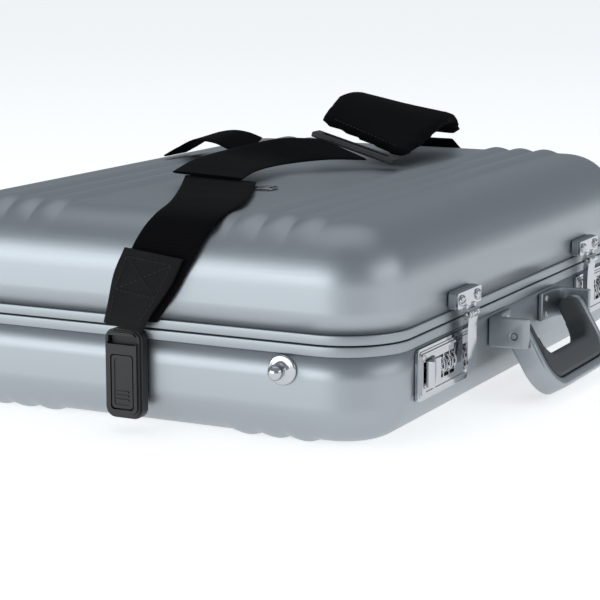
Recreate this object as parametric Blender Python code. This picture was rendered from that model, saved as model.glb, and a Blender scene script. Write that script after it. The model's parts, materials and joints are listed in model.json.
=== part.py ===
"""Aluminium attache case with a shoulder strap laid over its lid.

The case lies flat with its lid up and its latches towards -Y. The origin is the centre of the
base's flat bottom panel. Sizes below are millimetres; add_node turns them into metres.
"""

import math

import bmesh
import bpy
from mathutils import Vector

MM = 0.001
GAP = 0.3  # clearance between touching pieces

# Case body
LENGTH, DEPTH = 457.0, 330.0
PARTING_Z = 61.5
LID_TOP_Z = 129.5
CORNER_R = 42.0
BASE_EDGE_R, LID_EDGE_R = 25.0, 36.0
SKIN = 1.2
CORNER_STEPS, EDGE_STEPS = 7, 6
HALF_L, HALF_D = LENGTH / 2, DEPTH / 2

# Frame bands either side of the gasket
BAND_PROUD, BAND_INNER = 1.0, 3.0
BASE_BAND_LOW, BASE_BAND_TOP = 54.9, 61.1
LID_BAND_LOW, LID_BAND_TOP = 61.9, 67.7
LEG_START, LEG_LENGTH = 1.6, 7.0

# Pressed ribs that run along X
RIB_Y = (70.0, 89.0, 108.0)
RIB_HALF, RIB_CREST_HALF, RIB_HEIGHT, RIB_SUNK = 7.5, 2.5, 2.5, 0.6
RIB_FADE_DEG = 43.0  # how far round the edge radius a rib runs

# Linings
LINING_INSET, LINING_T = 3.4, 2.0

# Back hinges
HINGE_Y, HINGE_Z = 169.8, 61.5
HINGE_X, HINGE_HALF_W, HINGE_KNUCKLE_R, HINGE_PIN_R = 130.0, 25.0, 3.2, 1.4
HINGE_SPLIT = 8.3

# Latches: u runs from the outer end of each lock plate towards the middle of the case
LOCK_END_X, LOCK_WIDTH = 180.0, 77.5
LOCK_LOW_Z, LOCK_TOP_Z = 21.5, 53.5
LOCK_Z = (LOCK_LOW_Z + LOCK_TOP_Z) / 2
PLATE_T = 3.8
DIAL_U = (32.5, 41.5, 50.5)
DIAL_W, DIAL_R, DIAL_DEEP = 7.0, 7.0, 1.8  # the dial axis lies DIAL_DEEP behind the wall face
SPINDLE_R = 1.0
CASE_LOW_U, CASE_HIGH_U, CASE_LOW_Z, CASE_TOP_Z, CASE_DEEP = 3.0, 57.0, 28.0, 47.0, 13.0
THUMB_U, THUMB_TRAVEL = 17.0, 4.0
HASP_U, HASP_W = 67.0, 14.6
HASP_AXIS_PROUD, HASP_AXIS_Z = 8.5, 65.0
HASP_PIN_R, HASP_KNUCKLE_R, HASP_KNUCKLE_W = 1.2, 3.2, 8.6
CATCH_W, CATCH_LOW_Z, CATCH_TOP_Z = 38.0, 69.5, 79.5
RISER_PROUD, CATCH_PROUD = 5.8, 7.5

# Handle
GRIP_AXIS_PROUD, GRIP_AXIS_Z = 17.5, 41.5
GRIP_TILT = math.radians(30)
GRIP_HALF_X, GRIP_DROP, GRIP_CORNER_R, GRIP_THICK = 57.3, 44.0, 22.0, 16.0
GRIP_SHELL_T = 6.5
BRACKET_OUT_X, BRACKET_IN_X, BRACKET_REACH = 62.5, 29.5, 27.0
BRACKET_LOW_Z, BRACKET_TOP_Z = 33.5, 53.1
GRIP_PIN_R = 2.0

# Strap studs on the short sides
STUD_Y, STUD_Z = -103.0, 45.2

# Lid stay inside the left end
STAY_PIVOT_Y, STAY_PIVOT_Z, STAY_LENGTH = 118.0, 50.0, 100.0
STAY_START, STAY_RATIO = math.radians(18.36), 1.278
STAY_LID_DEG = 95.0
STAY_PLATE_X, STAY_ARM_X = -222.8, -219.9

# Shoulder strap
WEB_W, WEB_T = 44.0, 1.8
CLIP_Y = 0.0


def material(name, colour, roughness, metallic):
    finish = bpy.data.materials.new(name)
    finish.use_nodes = True
    shader = finish.node_tree.nodes["Principled BSDF"]
    shader.inputs["Base Color"].default_value = (*colour, 1)
    shader.inputs["Roughness"].default_value = roughness
    shader.inputs["Metallic"].default_value = metallic
    finish.diffuse_color = (*colour, 1)
    return finish


def clear_scene():
    for thing in list(bpy.data.objects):
        bpy.data.objects.remove(thing, do_unlink=True)


def add_node(name, mesh, finish, pivot=(0, 0, 0)):
    """Makes a millimetre bmesh in world axes into an object in metres, with its origin at the pivot."""
    bmesh.ops.recalc_face_normals(mesh, faces=mesh.faces)
    bmesh.ops.translate(mesh, verts=mesh.verts, vec=-Vector(pivot))
    bmesh.ops.scale(mesh, verts=mesh.verts, vec=(MM, MM, MM))
    data = bpy.data.meshes.new(name)
    mesh.to_mesh(data)
    mesh.free()
    data.shade_smooth()
    data.set_sharp_from_angle(angle=math.radians(35))
    data.materials.append(finish)
    node = bpy.data.objects.new(name, data)
    node.location = Vector(pivot) * MM
    bpy.context.collection.objects.link(node)
    return node


def boolean(node, mesh, operation):
    """Cuts a shape from a node or joins it on, with a hidden helper object."""
    helper = add_node(node.name + "_" + operation.lower(), mesh, node.data.materials[0])
    helper.hide_render = True
    helper.display_type = "WIRE"
    modifier = node.modifiers.new(operation.title(), "BOOLEAN")
    modifier.operation = operation
    modifier.object = helper


def cut(node, mesh):
    boolean(node, mesh, "DIFFERENCE")


def join(node, mesh):
    boolean(node, mesh, "UNION")


def loft(rings, closed=False, mesh=None):
    """Joins rings of equal size with quads, capping the ends or closing into a tube ring."""
    mesh = mesh or bmesh.new()
    rows = [[mesh.verts.new(point) for point in ring] for ring in rings]
    pairs = list(zip(rows, rows[1:])) + ([(rows[-1], rows[0])] if closed else [])
    for low, high in pairs:
        for i in range(len(low)):
            j = (i + 1) % len(low)
            mesh.faces.new((low[i], low[j], high[j], high[i]))
    if not closed:
        mesh.faces.new(rows[0][::-1])
        mesh.faces.new(rows[-1])
    return mesh


def rounded_rect(inset, z):
    """The case's outline seen from above, moved in by inset."""
    radius = CORNER_R - inset
    points = []
    for quarter in range(4):
        sign_x = (1, -1, -1, 1)[quarter]
        sign_y = (1, 1, -1, -1)[quarter]
        centre_x, centre_y = sign_x * (HALF_L - CORNER_R), sign_y * (HALF_D - CORNER_R)
        for step in range(CORNER_STEPS + 1):
            angle = math.pi / 2 * (quarter + step / CORNER_STEPS)
            points.append((centre_x + radius * math.cos(angle), centre_y + radius * math.sin(angle), z))
    return points


def bowl_rings(inset, rim, end, edge_r):
    """Rings from the rim to the flat end of a pressed half, on one side of its skin."""
    turn = 1 if end > rim else -1
    rings = [rounded_rect(inset, rim)]
    for step in range(EDGE_STEPS + 1):
        angle = math.pi / 2 * step / EDGE_STEPS
        z = end - turn * edge_r * (1 - math.sin(angle))
        rings.append(rounded_rect(inset + edge_r * (1 - math.cos(angle)), z))
    return rings


def tray(rim, end, edge_r, inset, wall):
    """A pressed half: an outer and an inner bowl that meet at the rim."""
    turn = 1 if end > rim else -1
    outer = bowl_rings(inset, rim, end, edge_r)
    inner = bowl_rings(inset + wall, rim, end - turn * wall, edge_r - wall)
    return loft(outer[::-1] + inner)


def prism(outline, low, high, axis="z"):
    """Extrudes an outline; its two numbers are (x, y) for z, (x, z) for y and (y, z) for x."""
    place = {
        "x": lambda a, b, c: (c, a, b),
        "y": lambda a, b, c: (a, c, b),
        "z": lambda a, b, c: (a, b, c),
    }[axis]
    return loft([[place(a, b, c) for a, b in outline] for c in (low, high)])


def box(low, high):
    outline = [(low[0], low[1]), (high[0], low[1]), (high[0], high[1]), (low[0], high[1])]
    return prism(outline, low[2], high[2])


def circle(centre, radius, steps=16):
    turns = [2 * math.pi * i / steps for i in range(steps)]
    return [(centre[0] + radius * math.cos(t), centre[1] + radius * math.sin(t)) for t in turns]


def rod_x(centre, radius, low, high, steps=16):
    """A cylinder along X, centred on (y, z)."""
    return prism(circle(centre, radius, steps), low, high, "x")


def rounded_outline(low, high, radius, steps=4):
    points = []
    corners = ((high[0], high[1]), (low[0], high[1]), (low[0], low[1]), (high[0], low[1]))
    for quarter, (a, b) in enumerate(corners):
        centre_a = a - radius if quarter in (0, 3) else a + radius
        centre_b = b - radius if quarter in (0, 1) else b + radius
        for step in range(steps + 1):
            angle = math.pi / 2 * (quarter + step / steps)
            points.append((centre_a + radius * math.cos(angle), centre_b + radius * math.sin(angle)))
    return points


def turned_x(profile, centre, side, start, steps=20):
    """Turns (distance along X, radius) points about an X axis through (y, z)."""
    rings = []
    for along, radius in profile:
        ring = circle(centre, radius, steps)
        rings.append([(side * (start + along), y, z) for y, z in ring])
    return loft(rings)


def smooth_path(points, per_span=4):
    """A Catmull-Rom curve through the points."""
    knots = [Vector(p) for p in points]
    knots = [2 * knots[0] - knots[1]] + knots + [2 * knots[-1] - knots[-2]]
    path = []
    for a, b, c, d in zip(knots, knots[1:], knots[2:], knots[3:]):
        for step in range(per_span):
            t = step / per_span
            curve = 2 * b + (c - a) * t + (2 * a - 5 * b + 4 * c - d) * t**2
            path.append((curve + (3 * b - a - 3 * c + d) * t**3) / 2)
    path.append(knots[-2])
    return path


def ribbon(stations, thickness, per_span=3):
    """A flat band through stations of (centre, half-width vector)."""
    centres = smooth_path([centre for centre, _ in stations], per_span)
    halves = smooth_path([half for _, half in stations], per_span)
    rings = []
    for i, (centre, half) in enumerate(zip(centres, halves)):
        ahead = centres[min(i + 1, len(centres) - 1)] - centres[max(i - 1, 0)]
        normal = ahead.cross(half).normalized() * thickness / 2
        rings.append([centre - half - normal, centre + half - normal, centre + half + normal,
                      centre - half + normal])
    return loft(rings)


# ---------------------------------------------------------------- case body


def rib_rings(y, end, edge_r):
    """One pressed rib: a low bar along X whose ends follow the edge radius and sink into it."""
    turn = 1 if end > PARTING_Z else -1
    stations = []
    for step in range(4):
        angle = math.radians(RIB_FADE_DEG) * step / 3
        stations.append((angle, RIB_HEIGHT * math.cos(math.pi / 2 * step / 3)))
    rings = []
    for side in (-1, 1):
        for angle, height in stations[::-1] if side < 0 else stations:
            flat_x = HALF_L - edge_r
            ring = []
            crest = height if height > 0.1 else -0.4
            for across, up in ((-RIB_HALF, -RIB_SUNK), (-RIB_CREST_HALF, crest), (RIB_CREST_HALF, crest),
                               (RIB_HALF, -RIB_SUNK)):
                reach = edge_r + up
                x = side * (flat_x + reach * math.sin(angle))
                z = end - turn * edge_r + turn * reach * math.cos(angle)
                ring.append((x, y + across, z))
            rings.append(ring)
    return rings


def make_shell(name, rim, end, edge_r, finish):
    shell = add_node(name, tray(rim, end, edge_r, 0.0, SKIN), finish)
    ribs = bmesh.new()
    for y in RIB_Y:
        loft(rib_rings(-y, end, edge_r), mesh=ribs)
        loft(rib_rings(y, end, edge_r), mesh=ribs)
    join(shell, ribs)
    return shell


def frame_ring(name, profile, finish):
    return add_node(name, loft([rounded_rect(inset, z) for inset, z in profile], closed=True), finish)


def make_body(finish):
    base = make_shell("base_shell", BASE_BAND_LOW - GAP, 0.0, BASE_EDGE_R, finish["shell"])
    make_shell("lid_shell", LID_BAND_TOP + GAP, LID_TOP_Z, LID_EDGE_R, finish["shell"])
    rebate = 0.6
    frame_ring("base_frame", [
        (-BAND_PROUD, BASE_BAND_LOW), (-BAND_PROUD, BASE_BAND_TOP), (rebate, BASE_BAND_TOP),
        (rebate, BASE_BAND_TOP - 1.5), (BAND_INNER, BASE_BAND_TOP - 1.5),
        (BAND_INNER, BASE_BAND_LOW - LEG_LENGTH), (LEG_START, BASE_BAND_LOW - LEG_LENGTH),
        (LEG_START, BASE_BAND_LOW),
    ], finish["frame"])
    frame_ring("lid_frame", [
        (-BAND_PROUD, LID_BAND_LOW), (-BAND_PROUD, LID_BAND_TOP), (LEG_START, LID_BAND_TOP),
        (LEG_START, LID_BAND_TOP + LEG_LENGTH), (BAND_INNER, LID_BAND_TOP + LEG_LENGTH),
        (BAND_INNER, LID_BAND_LOW),
    ], finish["frame"])
    gasket_low, gasket_top = BASE_BAND_TOP - 1.5 + GAP, LID_BAND_LOW - GAP
    frame_ring("gasket", [
        (rebate + GAP, gasket_low), (rebate + GAP, gasket_top),
        (BAND_INNER - GAP, gasket_top), (BAND_INNER - GAP, gasket_low),
    ], finish["rubber"])
    lining = add_node("base_lining", tray(BASE_BAND_TOP - 0.6, SKIN + GAP, BASE_EDGE_R - LINING_INSET,
                                          LINING_INSET, LINING_T), finish["lining"])
    add_node("lid_lining", tray(LID_BAND_LOW + 0.6, LID_TOP_Z - SKIN - GAP, LID_EDGE_R - LINING_INSET,
                                LINING_INSET, LINING_T), finish["lining"])
    for side in (-1, 1):
        for node, margin, deep in ((base, 1.0, 3.0), (lining, 1.6, 8.0)):
            xs = sorted((side * (LOCK_END_X - CASE_LOW_U + margin), side * (LOCK_END_X - CASE_HIGH_U - margin)))
            cut(node, box((xs[0], -HALF_D - 2, CASE_LOW_Z - margin),
                          (xs[1], -HALF_D + deep, CASE_TOP_Z + margin / 2)))


# ---------------------------------------------------------------- back hinges


def make_hinges(finish):
    leaf_y = (HALF_D + BAND_PROUD + GAP, HALF_D + BAND_PROUD + GAP + 1.5)
    axis = (HINGE_Y, HINGE_Z)
    for side, word in ((-1, "left"), (1, "right")):
        middle = side * HINGE_X
        left, right = middle - HINGE_HALF_W, middle + HINGE_HALF_W
        inner = (middle - HINGE_SPLIT, middle + HINGE_SPLIT)
        slot = (inner[0] - GAP, inner[1] + GAP)
        base_leaf = add_node("hinge_base_leaf_" + word, box((left, leaf_y[0], 42), (right, leaf_y[1], 59)),
                             finish["steel"])
        join(base_leaf, box((left, leaf_y[0] + 0.2, 57), (right, HINGE_Y, 61)))
        join(base_leaf, rod_x(axis, HINGE_KNUCKLE_R, left, right))
        cut(base_leaf, box((slot[0], leaf_y[0] - 1, HINGE_Z - 4.2), (slot[1], HINGE_Y + 4, HINGE_Z + 4)))
        cut(base_leaf, rod_x(axis, HINGE_PIN_R + GAP, left - 1, right + 1, 12))
        lid_leaf = add_node("hinge_lid_leaf_" + word, box((left, leaf_y[0], 65.5), (right, leaf_y[1], 81)),
                            finish["steel"], (0, HINGE_Y, HINGE_Z))
        join(lid_leaf, box((inner[0], leaf_y[0] + 0.2, 62), (inner[1], HINGE_Y, 66)))
        join(lid_leaf, rod_x(axis, HINGE_KNUCKLE_R, *inner))
        cut(lid_leaf, rod_x(axis, HINGE_PIN_R + GAP, left - 1, right + 1, 12))
        add_node("hinge_pin_" + word, rod_x(axis, HINGE_PIN_R, left - 0.6, right + 0.6, 12), finish["steel"])


# ---------------------------------------------------------------- latches


def make_latch(side, word, finish):
    wall = -HALF_D

    def xs(low_u, high_u):
        return sorted((side * (LOCK_END_X - low_u), side * (LOCK_END_X - high_u)))

    def block(low_u, high_u, low_proud, high_proud, low_z, high_z):
        """A box given along the plate, out from the wall and up."""
        low_x, high_x = xs(low_u, high_u)
        return box((low_x, wall - high_proud, low_z), (high_x, wall - low_proud, high_z))

    def rod(low_u, high_u, proud, z, radius, steps=16):
        return rod_x((wall - proud, z), radius, *xs(low_u, high_u), steps)

    low_x, high_x = xs(0, LOCK_WIDTH)
    outline = rounded_outline((low_x, LOCK_LOW_Z), (high_x, LOCK_TOP_Z), 3.0)
    plate = add_node("lock_plate_" + word, prism(outline, wall - PLATE_T, wall - GAP, "y"), finish["chrome"])
    for u in DIAL_U:
        cut(plate, block(u - DIAL_W / 2 - GAP, u + DIAL_W / 2 + GAP, -1, 6, LOCK_Z - 7.2, LOCK_Z + 7.2))
    cut(plate, block(THUMB_U - 5.5 - THUMB_TRAVEL, THUMB_U + 5.5, -1, 6, LOCK_Z - 3.3, LOCK_Z + 3.3))

    case = add_node("lock_case_" + word,
                    block(CASE_LOW_U, CASE_HIGH_U, -CASE_DEEP, -0.4, CASE_LOW_Z, CASE_TOP_Z), finish["steel"])
    for low_u, high_u in ((CASE_LOW_U + 1, 26.6), (27.6, CASE_HIGH_U - 1)):
        cut(case, block(low_u, high_u, -CASE_DEEP + 1, 2, CASE_LOW_Z + 1, CASE_TOP_Z - 1))

    spindle = rod(27.9, CASE_HIGH_U - 1.3, -DIAL_DEEP, LOCK_Z, SPINDLE_R, 10)
    add_node("dial_spindle_" + word, spindle, finish["steel"])
    axis = (wall + DIAL_DEEP, LOCK_Z)
    for number, u in enumerate(DIAL_U, 1):
        dial = add_node(f"number_dial_{word}_{number}",
                        rod(u - DIAL_W / 2, u + DIAL_W / 2, -DIAL_DEEP, LOCK_Z, DIAL_R, 20),
                        finish["chrome"], (0, *axis))
        cut(dial, rod(u - DIAL_W, u + DIAL_W, -DIAL_DEEP, LOCK_Z, SPINDLE_R + GAP, 10))

    thumb = add_node("thumb_slide_" + word,
                     block(THUMB_U - 9, THUMB_U + 9, PLATE_T + GAP, PLATE_T + 5.5, LOCK_Z - 8, LOCK_Z + 8),
                     finish["chrome"])
    join(thumb, block(THUMB_U - 5, THUMB_U + 5, -8, PLATE_T + 1, LOCK_Z - 3, LOCK_Z + 3))

    riser_u = (HASP_U - CATCH_W / 2 + 1, HASP_U + CATCH_W / 2 - 1)
    riser = block(*riser_u, GAP, RISER_PROUD, CATCH_LOW_Z - 0.5, CATCH_TOP_Z + 0.5)
    add_node("catch_riser_" + word, riser, finish["frame"])
    catch = add_node("catch_plate_" + word,
                     block(HASP_U - CATCH_W / 2, HASP_U + CATCH_W / 2, RISER_PROUD + GAP, CATCH_PROUD,
                           CATCH_LOW_Z, CATCH_TOP_Z), finish["chrome"])
    ear_u = (HASP_KNUCKLE_W / 2 + GAP, HASP_KNUCKLE_W / 2 + GAP + 3.4)
    for low_u, high_u in ((HASP_U - ear_u[1], HASP_U - ear_u[0]), (HASP_U + ear_u[0], HASP_U + ear_u[1])):
        join(catch, rod(low_u, high_u, HASP_AXIS_PROUD, HASP_AXIS_Z, HASP_KNUCKLE_R))
        join(catch, block(low_u, high_u, RISER_PROUD + GAP + 0.1, CATCH_PROUD + 1.2, HASP_AXIS_Z, CATCH_LOW_Z + 1))
    cut(catch, rod(HASP_U - 9, HASP_U + 9, HASP_AXIS_PROUD, HASP_AXIS_Z, HASP_PIN_R + GAP, 12))
    pin = rod(HASP_U - ear_u[1] - 0.5, HASP_U + ear_u[1] + 0.5, HASP_AXIS_PROUD, HASP_AXIS_Z, HASP_PIN_R, 12)
    add_node("hasp_pin_" + word, pin, finish["steel"])

    hasp = add_node("hasp_" + word,
                    block(HASP_U - HASP_W / 2, HASP_U + HASP_W / 2, 6.0, 10.0, 31.0, 61.0),
                    finish["chrome"], (side * (LOCK_END_X - HASP_U), wall - HASP_AXIS_PROUD, HASP_AXIS_Z))
    half = HASP_KNUCKLE_W / 2
    join(hasp, rod(HASP_U - half, HASP_U + half, HASP_AXIS_PROUD, HASP_AXIS_Z, HASP_KNUCKLE_R))
    join(hasp, block(HASP_U - half, HASP_U + half, 6.5, 9.9, 60.0, HASP_AXIS_Z))
    cut(hasp, rod(HASP_U - 9, HASP_U + 9, HASP_AXIS_PROUD, HASP_AXIS_Z, HASP_PIN_R + GAP, 12))


# ---------------------------------------------------------------- handle


def grip_outline(offset, drop, radius, steps=6):
    """Half of the U, from the top of the left arm to the middle, as (x, distance from the pivot)."""
    half = GRIP_HALF_X - offset
    points = [(-half, -7.5), (-half, -4.5), (-half, 0.0)]
    for step in range(steps + 1):
        angle = math.pi / 2 * step / steps
        points.append((-half + radius * (1 - math.cos(angle)), drop - radius * (1 - math.sin(angle))))
    return points


def grip_band(outer, inner):
    """A U-shaped band between two outlines, thinner at the rounded tops of its arms."""
    out_dir = Vector((0, -math.sin(GRIP_TILT), -math.cos(GRIP_TILT)))
    across = Vector((0, -math.cos(GRIP_TILT), math.sin(GRIP_TILT)))
    pivot = Vector((0, -HALF_D - GRIP_AXIS_PROUD, GRIP_AXIS_Z))
    halves = [3.5, 6.5, GRIP_THICK / 2] + [GRIP_THICK / 2] * (len(outer) - 3)
    rings = []
    for mirror in (1, -1):
        order = range(len(outer)) if mirror > 0 else reversed(range(len(outer)))
        for i in order:
            ring = []
            for (x, drop), half in ((outer[i], -1), (inner[i], -1), (inner[i], 1), (outer[i], 1)):
                ring.append(pivot + out_dir * drop + across * half * halves[i] + Vector((mirror * x, 0, 0)))
            rings.append(ring)
    return loft(rings)


def make_handle(finish):
    pivot = (0, -HALF_D - GRIP_AXIS_PROUD, GRIP_AXIS_Z)
    inner = GRIP_SHELL_T
    shell_out = grip_outline(0, GRIP_DROP, GRIP_CORNER_R)
    shell_in = grip_outline(inner, GRIP_DROP - inner, GRIP_CORNER_R - inner)
    shell = add_node("grip_shell", grip_band(shell_out, shell_in), finish["shell"], pivot)
    lining_out = grip_outline(inner + GAP, GRIP_DROP - inner - GAP, GRIP_CORNER_R - inner - GAP)
    lining_in = grip_outline(inner + 7.0, GRIP_DROP - inner - 17.0, 14.0)
    add_node("grip_lining", grip_band(lining_out, lining_in), finish["grip"], pivot)
    wall = -HALF_D
    for side, word in ((-1, "left"), (1, "right")):
        outline = [
            (BRACKET_OUT_X, wall - GAP), (BRACKET_OUT_X, wall - BRACKET_REACH + 2),
            (BRACKET_OUT_X - 2, wall - BRACKET_REACH), (GRIP_HALF_X + 0.6, wall - BRACKET_REACH),
            (GRIP_HALF_X + 0.6, wall - 8.5), (GRIP_HALF_X - 4, wall - 6.0),
            (GRIP_HALF_X - 12, wall - 4.3), (BRACKET_IN_X, wall - 3.3), (BRACKET_IN_X, wall - GAP),
        ]
        bracket = add_node("handle_bracket_" + word,
                           prism([(side * x, y) for x, y in outline], BRACKET_LOW_Z, BRACKET_TOP_Z),
                           finish["frame"])
        ends = sorted((side * (GRIP_HALF_X - GRIP_SHELL_T + 0.3), side * (BRACKET_OUT_X - 0.4)))
        hole = (ends[0] - 2, ends[1] + 2)
        cut(bracket, rod_x(pivot[1:], GRIP_PIN_R + GAP, *hole, 12))
        cut(shell, rod_x(pivot[1:], GRIP_PIN_R + GAP, *hole, 12))
        add_node("handle_pin_" + word, rod_x(pivot[1:], GRIP_PIN_R, *ends, 12), finish["steel"])


def make_studs(finish):
    profile = [(GAP, 9.1), (1.2, 9.2), (2.2, 8.6), (2.8, 6.0), (3.4, 4.4), (5.0, 3.4), (6.2, 3.6)]
    ball_r, ball_x = 4.8, 9.2
    for step in range(1, 7):
        angle = math.radians(-40 + 130 * step / 6.5)
        profile.append((ball_x + ball_r * math.sin(angle), ball_r * math.cos(angle)))
    for side, word in ((-1, "left"), (1, "right")):
        add_node("strap_stud_" + word, turned_x(profile, (STUD_Y, STUD_Z), side, HALF_L), finish["chrome"])


# ---------------------------------------------------------------- lid stay


def stay_tip(lid_angle):
    """The stay pin's place in the lid, as (distance in front of the hinge, height over it)."""
    arm = STAY_START + STAY_RATIO * lid_angle
    back = STAY_PIVOT_Y - STAY_LENGTH * math.cos(arm) - HINGE_Y
    up = STAY_PIVOT_Z + STAY_LENGTH * math.sin(arm) - HINGE_Z
    front = -back * math.cos(lid_angle) + up * math.sin(lid_angle)
    return front, back * math.sin(lid_angle) + up * math.cos(lid_angle)


def slot_outline(half_width, steps=10):
    """The outline of the curved slot that the stay pin follows, as (y, z) with the lid shut."""
    centre = [Vector(stay_tip(math.radians(STAY_LID_DEG) * i / steps)) for i in range(steps + 1)]
    upper, lower = [], []
    for i, point in enumerate(centre):
        ahead = (centre[min(i + 1, steps)] - centre[max(i - 1, 0)]).normalized()
        normal = Vector((-ahead.y, ahead.x)) * half_width
        reach = ahead * half_width * ((i == steps) - (i == 0))
        upper.append(point + normal + reach)
        lower.append(point - normal + reach)
    return [(HINGE_Y - p.x, HINGE_Z + p.y) for p in upper + lower[::-1]]


def make_stay(finish):
    pivot = (STAY_PIVOT_Y, STAY_PIVOT_Z)
    bracket = add_node("stay_bracket", box((STAY_PLATE_X, 108, 42), (STAY_PLATE_X + 1.8, 125, 58)), finish["steel"])
    join(bracket, rod_x(pivot, 2.6, STAY_PLATE_X + 0.5, STAY_ARM_X + 3.2))
    track = add_node("stay_track", box((STAY_PLATE_X, 17, 64), (STAY_PLATE_X + 1.8, 121, 88)), finish["steel"])
    cut(track, prism(slot_outline(2.5), STAY_PLATE_X - 2, STAY_PLATE_X + 4, "x"))
    tip = (STAY_PIVOT_Y - STAY_LENGTH * math.cos(STAY_START), STAY_PIVOT_Z + STAY_LENGTH * math.sin(STAY_START))
    along = Vector((tip[0] - pivot[0], tip[1] - pivot[1])).normalized()
    outline = []
    for centre, start in ((tip, math.atan2(along.y, along.x) - math.pi / 2),
                          (pivot, math.atan2(along.y, along.x) + math.pi / 2)):
        for step in range(7):
            angle = start + math.pi * step / 6
            outline.append((centre[0] + 4.5 * math.cos(angle), centre[1] + 4.5 * math.sin(angle)))
    arm = add_node("stay_arm", prism(outline, STAY_ARM_X, STAY_ARM_X + 2, "x"), finish["steel"], (0, *pivot))
    cut(arm, rod_x(pivot, 2.6 + GAP, STAY_ARM_X - 1, STAY_ARM_X + 3))
    join(arm, rod_x(tip, 2.0, STAY_PLATE_X + 0.3, STAY_ARM_X + 1, 12))


# ---------------------------------------------------------------- shoulder strap

TOP = LID_TOP_Z


def side_strap(side, word, finish):
    """The clip, its release tab and the leather tab that hang at one end of the case."""
    def x(proud):
        return side * (HALF_L + proud)

    def slab(low_proud, high_proud, low_y, high_y, low_z, high_z):
        ends = sorted((x(low_proud), x(high_proud)))
        return box((ends[0], low_y, low_z), (ends[1], high_y, high_z))

    ends = sorted((x(1.6), x(10.6)))
    outline = rounded_outline((CLIP_Y - 13, 6.5), (CLIP_Y + 13, 61), 6.0)
    frame = add_node("strap_clip_" + word, prism(outline, *ends, "x"), finish["plastic"])
    cut(frame, slab(0, 12, CLIP_Y - 8, CLIP_Y + 8, 12, 46))
    cut(frame, slab(0, 12, CLIP_Y - 11, CLIP_Y + 11, 52, 57.5))
    join(frame, slab(3.5, 6, CLIP_Y - 10, CLIP_Y + 10, 47, 60))
    tab = (x(7.5), CLIP_Y, 44.0)
    add_node("clip_release_tab_" + word, slab(6.6, 10.9, CLIP_Y - 7.2, CLIP_Y + 7.2, 13, 45.4),
             finish["plastic"], tab)
    stations = []
    for proud, y, z, half in ((8.6, CLIP_Y, 62.5, 13), (8.5, -5, 74, 15), (6.8, -13, 92, 19.5),
                              (4.5, -20, 108, 20)):
        stations.append(((x(proud), y, z), (0, half, -2.2 * side)))
    add_node("leather_tab_" + word, ribbon(stations, 3.6), finish["leather"])


def shoulder(side, angle_deg, lift):
    angle = math.radians(angle_deg)
    reach = LID_EDGE_R + lift
    return side * (HALF_L - LID_EDGE_R + reach * math.sin(angle)), TOP - LID_EDGE_R + reach * math.cos(angle)


def make_strap(finish):
    side_strap(-1, "left", finish)
    side_strap(1, "right", finish)
    lift = 2.2
    half = WEB_W / 2

    left = [((-HALF_L - lift, -5, 66), (0, 15, 0)), ((-HALF_L - lift, -14, 86), (0, half - 2, 0))]
    for angle, y in ((72, -22.5), (48, -27), (27, -30)):
        px, pz = shoulder(-1, angle, lift + 0.5)
        left.append(((px, y, pz), (0, half, 0)))
    left += [((-180, -26, TOP + 2.6), (-6, half, 0)), ((-135, -8, TOP + 4.2), (-8, half, 1)),
             ((-97, 10, TOP + 5.6), (-8, half, 2))]
    add_node("strap_webbing_left", ribbon(left, WEB_T), finish["webbing"])

    slider = prism(rounded_outline((-98, -27), (-84, 33), 3), TOP + 0.4, TOP + 1.6)
    cutters = [box((-95.5, -24, TOP - 1), (-92.2, 30, TOP + 4)), box((-89.8, -24, TOP - 1), (-86.5, 30, TOP + 4))]
    node = add_node("strap_slider", slider, finish["chrome"])
    for cutter in cutters:
        cut(node, cutter)

    upper = [((-104, 16, TOP + 8.5), (-7, half, 2)), ((-62, 25, TOP + 10.5), (-4, half, 3)),
             ((-15, 27, TOP + 11), (-3, half, 4)), ((20, 8, TOP + 14), (3, half - 1, 6)),
             ((41, -13, TOP + 12.8), (4, half - 2, 6))]
    add_node("strap_webbing_upper", ribbon(upper, WEB_T), finish["webbing"])

    loop = [((46, 127, TOP + 2.4), (17, 0, 0)), ((50, 117, TOP + 8.5), (17, 0, 0)),
            ((52, 105, TOP + 15), (17, 0, 1)), ((54, 91, TOP + 16), (16, 0, 3)),
            ((56, 79, TOP + 13), (15, 0, 5)), ((58, 68, TOP + 9.4), (14, 0, 5))]
    add_node("strap_slack_loop", ribbon(loop, WEB_T, 3), finish["webbing"])

    buckle = [((60, 18, TOP + 21), (7, 0, 0)), ((45, -52, TOP + 5.5), (7, 0, 0))]
    add_node("pad_buckle", ribbon(buckle, 4, 1), finish["plastic"])

    pad = [((74, -12, TOP + 16), (11, 40, 10.5)), ((106, -10, TOP + 25), (5, 42, 13)),
           ((142, -8, TOP + 32), (0, 42, 10.5)), ((172, -8, TOP + 29), (0, 39, 5)),
           ((195, -10, TOP + 12.5), (0, 32, 0))]
    add_node("shoulder_pad", ribbon(pad, 9, 3), finish["pad"])

    right = [((203, -11, TOP + 5.6), (0, half - 3, 0))]
    for angle, y in ((30, -13), (50, -17), (72, -18)):
        px, pz = shoulder(1, angle, lift)
        right.append(((px, y, pz), (0, half - 1, 0)))
    right += [((HALF_L + lift, -13, 86), (0, half - 3, 0)), ((HALF_L + lift, -5, 66), (0, 15, 0))]
    add_node("strap_webbing_right", ribbon(right, WEB_T), finish["webbing"])


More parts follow.
